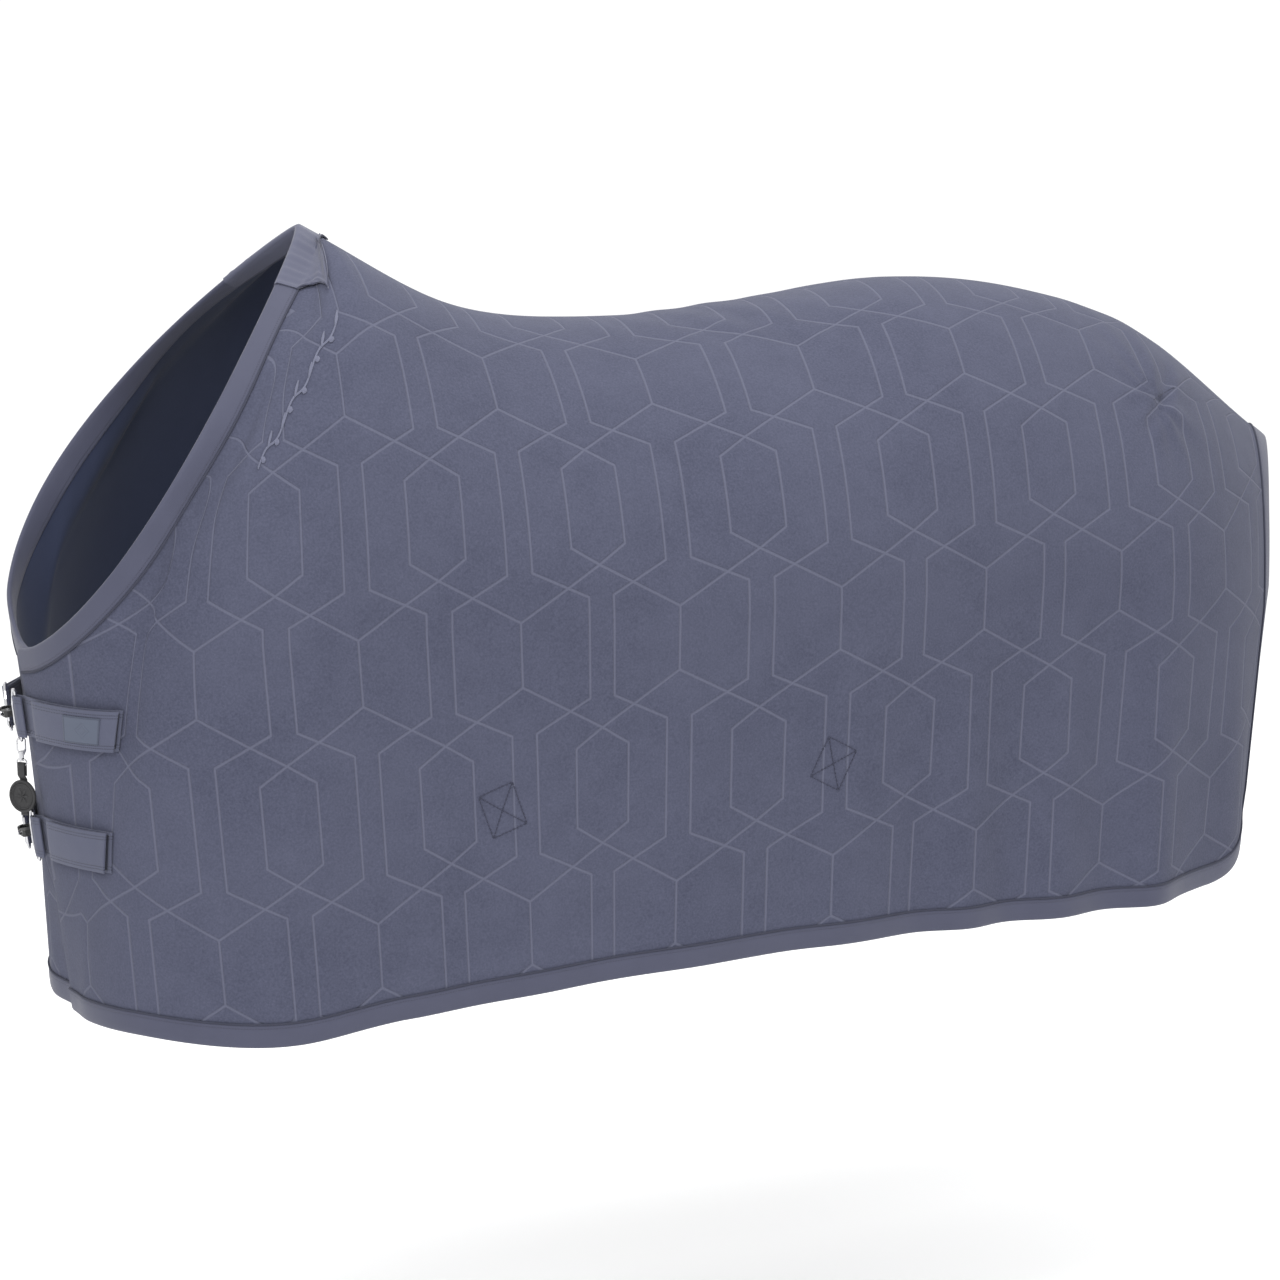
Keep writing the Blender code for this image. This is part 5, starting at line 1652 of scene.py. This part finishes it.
# ================================================================ the chest closures
class ChestSkin:
    """Finds cloth points near the chest by distance across and height."""

    def __init__(self, form: RugForm) -> None:
        """Keep the form."""
        self.form = form

    def at(self, side: Side, across: float, z: float, out: float) -> np.ndarray:
        """Return the panel's point at a height and distance from the centre line.

        Args:
            side: which of the horse's sides.
            across: distance from the centre line.
            z: height.
            out: distance outwards.

        Returns:
            The point.
        """
        cut = self.form.cut
        share = min(1.0, abs(across) / cut.shoulder_half)
        s = math.asin(share**(cut.chest_round / 2)) / (math.pi / 2)
        line, runs = self.form.fall(s)
        v = float(np.interp(-z, -line[:, 2], runs)) / float(runs[-1])
        return self.form.cloth(side, s, v, out)[0]


@dataclass
class Closure:
    """One chest closure's strap, tapes, label and ring tab."""

    name: str
    height: float
    tab_rise: float
    skin: ChestSkin
    finishes: Finishes
    width: float = 0.050
    thick: float = 0.0022
    length: float = 0.125
    gap: float = 0.0006
    tape: float = 0.0010
    sewn_gap: float = 0.0003
    bar: tuple[float, float] = (0.010, 0.012)
    ring_bar: tuple[float, float] = (0.076, 0.003)
    tab_ends: tuple[float, float] = (0.150, 0.108)
    label_ends: tuple[float, float] = (-0.0960, -0.0480)
    label_half: float = 0.0165
    strips: int = 13

    def __post_init__(self) -> None:
        """Set the closure's own frame on the chest."""
        self.origin = self.skin.at(Side.LEFT, 0.0, self.height, 0.0)
        above = self.skin.at(Side.LEFT, 0.0, self.height + self.width / 2, 0.0)
        below = self.skin.at(Side.LEFT, 0.0, self.height - self.width / 2, 0.0)
        self.up = unit(above - below)
        self.out = unit(np.cross(self.up, np.array((0.0, 1.0, 0.0))))
        self.out = -self.out if self.out[0] > 0 else self.out
        self.floor = self.skin.form.cut.face + self.sewn_gap
        self.base = self.floor + 0.0009
        self.bend = self.floor + self.thick / 2

    def at(self, across: float, out: float, up: float) -> np.ndarray:
        """Return a point in the closure's frame."""
        return self.origin + np.array((0.0, across, 0.0)) + self.out * out + self.up * up

    def flat(self, side: Side, across: float, up: float, out: float) -> np.ndarray:
        """Return a point over the cloth near the closure."""
        return self.skin.at(side, across, self.height + up * self.up[2], out)

    def rises(self, half: float) -> np.ndarray:
        """Return heights across a strap."""
        return np.linspace(-half, half, self.strips)

    def layer(self, name: str, start: float, end: float, half: float, level: float, thick: float,
              finish: bpy.types.Material, crown: float = 0.0, middle: float = 0.0) -> bpy.types.Object:
        """Build a flat layer that follows the cloth.

        Args:
            name: the piece's name.
            start: where it starts, across the chest.
            end: where it ends, across the chest.
            half: half the width.
            level: height of its underside over the cloth.
            thick: its thickness.
            finish: its material.
            crown: how much the middle stands up.
            middle: where its pattern is centred.

        Returns:
            The points and their coordinates.
        """
        places, rises = np.linspace(start, end, 31), self.rises(half)
        bow = [crown * (1 - (r / half)**2) for r in rises]
        lower = [[self.flat(Side.LEFT, a, r, level) for r in rises] for a in places]
        upper = [[self.flat(Side.LEFT, a, r, level + thick + b) for r, b in zip(rises, bow)] for a in places]
        uv = [[(a - middle, r) for r in rises] for a in places]
        return Cloth.slab(name, np.array(lower), np.array(upper), finish, np.array(uv))

    def free_path(self, side: Side, path: np.ndarray, half: float) -> tuple[list, list, list]:
        """Return grids of a strap that follows a path in the closure's frame.

        Args:
            side: which of the horse's sides.
            path: points of its middle line in the closure's frame.
            half: half the width.

        Returns:
            Its two grids and its UV coordinates.
        """
        lower, upper, uv, run = [], [], [], 0.0
        for i, (a, w) in enumerate(path):
            along = unit(path[min(i + 1, len(path) - 1)] - path[max(i - 1, 0)])
            turn = np.array((along[1], -along[0])) * side.value * self.thick / 2
            run += float(np.linalg.norm(path[i] - path[i - 1])) if i else 0.0
            lower.append([self.at(a - turn[0], w - turn[1], r) for r in self.rises(half)])
            upper.append([self.at(a + turn[0], w + turn[1], r) for r in self.rises(half)])
            uv.append([(run, r) for r in self.rises(half)])
        return lower, upper, uv

    @staticmethod
    def arc(centre: tuple, radius: float, first: float, last: float, steps: int) -> list:
        """Return points round an arc, in degrees."""
        angles = [math.radians(first + (last - first) * i / steps) for i in range(steps + 1)]
        return [(centre[0] + radius * math.cos(a), centre[1] + radius * math.sin(a)) for a in angles]

    def strap_base(self) -> None:
        """Build the strap's sewn base with its loop round the snap's eye."""
        half, rises = self.width / 2, self.rises(self.width / 2)
        middle = self.base + self.thick / 2
        flap = self.base + (self.thick + self.gap) + 2 * (self.tape + self.gap)
        path = [(-0.008, middle), (-0.003, middle + 0.0006), (0.001, middle + 0.0016),
                (0.004, middle + 0.0024), (0.007, middle + 0.0035)]
        path += self.arc(self.bar, self.bend, -72, 110, 14)
        path += [(0.0060, 0.0154), (0.0030, 0.0150), (0.0, 0.0139), (-0.0030, 0.0126),
                 (-0.0078, flap + self.thick / 2 + 0.0008)]
        places = np.linspace(-self.length - 0.006, -0.012, 26)
        lower = [[self.flat(Side.LEFT, a, r, self.base) for r in rises] for a in places]
        upper = [[self.flat(Side.LEFT, a, r, self.base + self.thick) for r in rises] for a in places]
        uv = [[(a, r) for r in rises] for a in places]
        more = self.free_path(Side.LEFT, np.array(path), half)
        piece = Cloth.slab(f"{self.name}_sewn_strap", np.array(lower + more[0]), np.array(upper + more[1]),
                           self.finishes.webbing, np.array(uv + more[2]))
        place_piece(piece, "rug", "chest_webbing", f"{self.name}_strap_base")

    def peeling_end(self) -> None:
        """Build the strap's peeling end, its tapes and the label."""
        half, step = self.width / 2, self.thick + self.gap
        loop = self.base + step
        hook = loop + self.tape + self.gap
        flap = hook + self.tape + self.gap
        made = self.layer(f"{self.name}_soft_tape", -self.length, -0.030, half - 0.004, loop, self.tape,
                          self.finishes.fuzzy)
        place_piece(made, "rug", "dark_webbing", f"{self.name}_loop_tape")
        made = self.layer(f"{self.name}_stiff_tape", -self.length + 0.002, -0.032, half - 0.006, hook,
                          self.tape, self.finishes.fuzzy)
        place_piece(made, f"{self.name}_flap", "dark_webbing", f"{self.name}_hook_tape")
        made = self.layer(f"{self.name}_strap_end", -self.length, -0.0112, half, flap, self.thick,
                          self.finishes.webbing, 0.0008)
        place_piece(made, f"{self.name}_flap", "chest_webbing", f"{self.name}_strap_flap")
        if self.name == "upper":
            made = self.layer("diamond_label", *self.label_ends, self.label_half, flap + step + 0.0004,
                              self.tape, self.finishes.label, middle=sum(self.label_ends) / 2)
            place_piece(made, "upper_flap", "label_fabric", "label_patch")

    def ring_tab(self) -> None:
        """Build the tab that holds the far ring."""
        half, base = self.width / 2, self.floor + self.tab_rise
        rises, places = self.rises(half), np.linspace(*self.tab_ends, 18)
        lower = [[self.flat(Side.RIGHT, a, r, base) for r in rises] for a in places]
        upper = [[self.flat(Side.RIGHT, a, r, base + self.thick) for r in rises] for a in places]
        uv = [[(a, r) for r in rises] for a in places]
        loop = np.array(self.arc(self.ring_bar, self.bend, -112, -295, 14))
        turn = self.free_path(Side.RIGHT, loop, half)
        lower, upper, uv = lower + turn[0], upper + turn[1], uv + turn[2]
        level = base + self.thick + self.sewn_gap
        for a in places[::-1]:
            lower.append([self.flat(Side.RIGHT, a, r, level + self.thick) for r in rises])
            upper.append([self.flat(Side.RIGHT, a, r, level) for r in rises])
            uv.append([(a, r) for r in rises])
        piece = Cloth.slab(f"{self.name}_folded_tab", np.array(lower), np.array(upper),
                           self.finishes.webbing, np.array(uv))
        place_piece(piece, "rug", "chest_webbing", f"{self.name}_ring_tab")

    def build(self) -> None:
        """Build the closure's cloth pieces."""
        self.strap_base()
        self.peeling_end()
        self.ring_tab()


# ================================================================ the charm
@dataclass
class CharmTag:
    """The leather strap and the medallion under the charm's ring."""

    finishes: Finishes
    hang: tuple[float, float, float] = (-0.3660, 0.0131, -0.6052)
    turn: float = math.radians(32)
    bar_drop: float = 0.0302
    bend: float = 0.0020
    strap_thick: float = 0.0018
    strap_half: float = 0.00525
    medal_drop: float = 0.0690
    medal_back: float = -0.0010
    medal_radius: float = 0.0200
    medal_thick: float = 0.0036
    sides: int = 120
    petals: int = 6

    def at(self, wide: float, down: float, face: float) -> np.ndarray:
        """Return a point in the charm's frame.

        Args:
            wide: distance across.
            down: distance down.
            face: distance to the front.

        Returns:
            The point.
        """
        along = np.array((-math.sin(self.turn), math.cos(self.turn), 0.0))
        front = np.array((-math.cos(self.turn), -math.sin(self.turn), 0.0))
        return np.array(self.hang) + along * wide + front * face + np.array((0.0, 0.0, -down))

    def strap(self) -> None:
        """Build the folded leather strap."""
        bend, bar = self.bend, self.bar_drop
        path = [(-bend * 0.95, bar + 0.014), (-bend, bar + 0.008), (-bend, bar + 0.004)]
        path += [(-bend * math.cos(math.radians(t)), bar - bend * math.sin(math.radians(t)))
                 for t in range(0, 181, 12)]
        path += [(bend, bar + 0.004), (bend * 0.9, bar + 0.0130), (-0.0004, bar + 0.0160),
                 (-0.0022, bar + 0.0185)]
        path += [(-0.0022, d) for d in np.linspace(0.054, 0.0930, 14)]
        path, wide = np.array(path), np.linspace(-self.strap_half, self.strap_half, 7)
        lower, upper, uv = [], [], []
        for i, (f, d) in enumerate(path):
            along = unit(path[min(i + 1, len(path) - 1)] - path[max(i - 1, 0)])
            turn = np.array((-along[1], along[0])) * self.strap_thick / 2
            lower.append([self.at(w, d - turn[1], f - turn[0]) for w in wide])
            upper.append([self.at(w, d + turn[1], f + turn[0]) for w in wide])
            uv.append([(d, w) for w in wide])
        piece = Cloth.slab("folded_charm_strap", np.array(lower), np.array(upper), self.finishes.leather,
                           np.array(uv))
        place_piece(piece, "charm_tag", "black_leather", "charm_strap")

    def medallion(self) -> None:
        """Build the round medallion: concentric rims round a six-petal flower."""
        steps = [(0.0, 0.0), (0.95, 0.0), (1.0, 0.12), (1.0, 0.70), (0.985, 0.86), (0.955, 0.96), (0.92, 1.0),
                 (0.86, 0.98), (0.84, 0.72), (0.82, 0.66), (0.80, 0.72), (0.775, 0.90), (0.74, 0.90),
                 (0.715, 0.74), (0.70, 0.60)]
        steps += [(share, 0.58) for share in np.linspace(0.66, 0.02, 24)]
        rings = []
        for share, height in steps[1:]:
            ring = []
            reach = self.medal_radius * share
            for i in range(self.sides):
                angle = 2 * math.pi * i / self.sides
                petal = abs(math.cos(self.petals / 2 * angle)) * 0.52
                bump = 0.30 * float(np.clip((petal - share) / 0.08, 0.0, 1.0)) if share < 0.69 else 0.0
                core = 0.14 * float(np.clip((0.12 - share) / 0.04, 0.0, 1.0))
                ring.append(self.at(reach * math.cos(angle), self.medal_drop + reach * math.sin(angle),
                                    self.medal_back + self.medal_thick * (height + bump + core)))
            rings.append(ring)
        rings = np.array(rings)
        piece = Cloth.loft("flower_medallion", rings, self.finishes.leather, np.zeros((*rings.shape[:2], 2)))
        Cloth.smooth(piece, 40)
        place_piece(piece, "charm_tag", "black_leather", "charm_medallion")

    def build(self) -> None:
        """Build the hanging tag."""
        self.strap()
        self.medallion()


# ================================================================ surcingles and hardware
@dataclass
class Surcingles:
    """The belly straps, as softened copies of their frame nodes."""

    finishes: Finishes
    names: tuple[str, ...] = ("front_surcingle_left_strap", "front_surcingle_right_strap",
                              "rear_surcingle_left_strap", "rear_surcingle_right_strap")

    def build(self) -> None:
        """Copy each strap, merge it, soften its rims and give it webbing."""
        for name in self.names:
            source = bpy.data.objects[name]
            mesh = source.data.copy()
            mesh.transform(source.matrix_world)
            piece = bpy.data.objects.new(f"woven_{name}", mesh)
            bpy.context.scene.collection.objects.link(piece)
            bm = bmesh.new()
            bm.from_mesh(mesh)
            bmesh.ops.remove_doubles(bm, verts=bm.verts[:], dist=0.00002)
            bmesh.ops.dissolve_limit(bm, angle_limit=math.radians(1.0), verts=bm.verts[:], edges=bm.edges[:])
            bm.to_mesh(mesh)
            bm.free()
            mesh.materials.clear()
            mesh.materials.append(self.finishes.fuzzy)
            apply_modifier(piece, "BEVEL", width=0.0004, segments=2, limit_method="ANGLE",
                           angle_limit=math.radians(50), loop_slide=False)
            Cloth.face_out(piece)
            Cloth.smooth(piece, 45)
            place_piece(piece, "rug", "dark_webbing", name)


@dataclass
class Hardware:
    """Finishes of the metal nodes, which stay as the frame has them."""

    finishes: Finishes
    # Nodes that get the near-black metal of painted shade instead of steel.
    dark: tuple[str, ...] = ("snap_hook", "snap_bolt")

    def build(self) -> None:
        """Give each shown node its metal."""
        loose = bpy.context.scene.collection.objects
        for piece in [o for o in bpy.data.objects if o.type == "MESH" and o.name not in loose]:
            dark = any(word in piece.name for word in self.dark)
            for place in piece.material_slots:
                place.link = "OBJECT"
                place.material = self.finishes.painted_shade_metal if dark else self.finishes.steel


# ================================================================ the studio
@dataclass
class Studio:
    """Pale floor, soft light and the camera."""

    target: tuple[float, float, float] = (0.481, 0.001, -0.553)
    azimuth: float = math.radians(29.355)
    elevation: float = math.radians(9.206)
    distance: float = 4.026
    focal: float = 2.364
    roll: float = math.radians(-0.279)
    floor_height: float = -1.50
    sky: float = 1.08
    sensor: float = 36.0

    def floor(self) -> None:
        """Add the floor."""
        finish = Finish("pale_floor", 0.95)
        material = finish.done(finish.mix(finish.grain(3.0), (0.97, 0.97, 0.97), (0.985, 0.985, 0.985)))
        deselect()
        bpy.ops.mesh.primitive_plane_add(size=60.0, location=(0.0, 0.0, self.floor_height))
        plane = bpy.context.view_layer.objects.active
        plane.name = "studio_floor"
        plane.data.materials.append(material)

    def light(self, name: str, place: tuple, size: float, power: float) -> None:
        """Add a soft light aimed at the rug.

        Args:
            name: the light's name.
            place: where it stands.
            size: the light's width.
            power: the light's power.
        """
        data = bpy.data.lights.new(name, "AREA")
        data.energy, data.size, data.shape = power, size, "DISK"
        lamp = bpy.data.objects.new(name, data)
        lamp.location = place
        lamp.rotation_euler = (Vector(self.target) - Vector(place)).to_track_quat("-Z", "Y").to_euler()
        bpy.context.scene.collection.objects.link(lamp)

    def camera(self) -> None:
        """Add the camera."""
        data = bpy.data.cameras.new("stage_camera")
        data.sensor_fit, data.sensor_width = "HORIZONTAL", self.sensor
        data.lens, data.clip_end = self.sensor * self.focal, 100.0
        back = Vector((-math.sin(self.azimuth) * math.cos(self.elevation),
                       -math.cos(self.azimuth) * math.cos(self.elevation), math.sin(self.elevation)))
        camera = bpy.data.objects.new("stage_camera", data)
        place = Vector(self.target) + back * self.distance
        turn = (-back).to_track_quat("-Z", "Y").to_matrix().to_4x4()
        camera.matrix_world = Matrix.Translation(place) @ turn @ Matrix.Rotation(self.roll, 4, "Z")
        bpy.context.scene.collection.objects.link(camera)
        bpy.context.scene.camera = camera

    def build(self) -> None:
        """Set the stage."""
        bpy.context.scene.view_settings.view_transform = "Standard"
        world = bpy.context.scene.world or bpy.data.worlds.new("studio")
        bpy.context.scene.world = world
        world.use_nodes = True
        world.node_tree.nodes["Background"].inputs[0].default_value = (1.0, 1.0, 1.0, 1.0)
        world.node_tree.nodes["Background"].inputs[1].default_value = self.sky
        self.floor()
        self.light("key", (-2.6, -4.4, 2.6), 2.2, 150.0)
        self.light("top", (0.8, -0.6, 3.2), 2.0, 95.0)
        self.light("far_side", (2.2, 3.6, 1.8), 2.4, 25.0)
        self.camera()


def main() -> None:
    """Build the rug's looks."""
    logging.basicConfig(level=logging.INFO, format="%(message)s")
    form = RugForm(Cut())
    drape, finishes = Drape(form), Finishes()
    Hardware(finishes).build()
    Shell(form, drape, finishes).build()
    Stitching(form, drape, finishes).build()
    skin = ChestSkin(form)
    Closure("upper", -0.573, 0.0031, skin, finishes).build()
    Closure("lower", -0.722, 0.0010, skin, finishes).build()
    CharmTag(finishes).build()
    Surcingles(finishes).build()
    Studio().build()


if __name__ == "__main__":
    main()
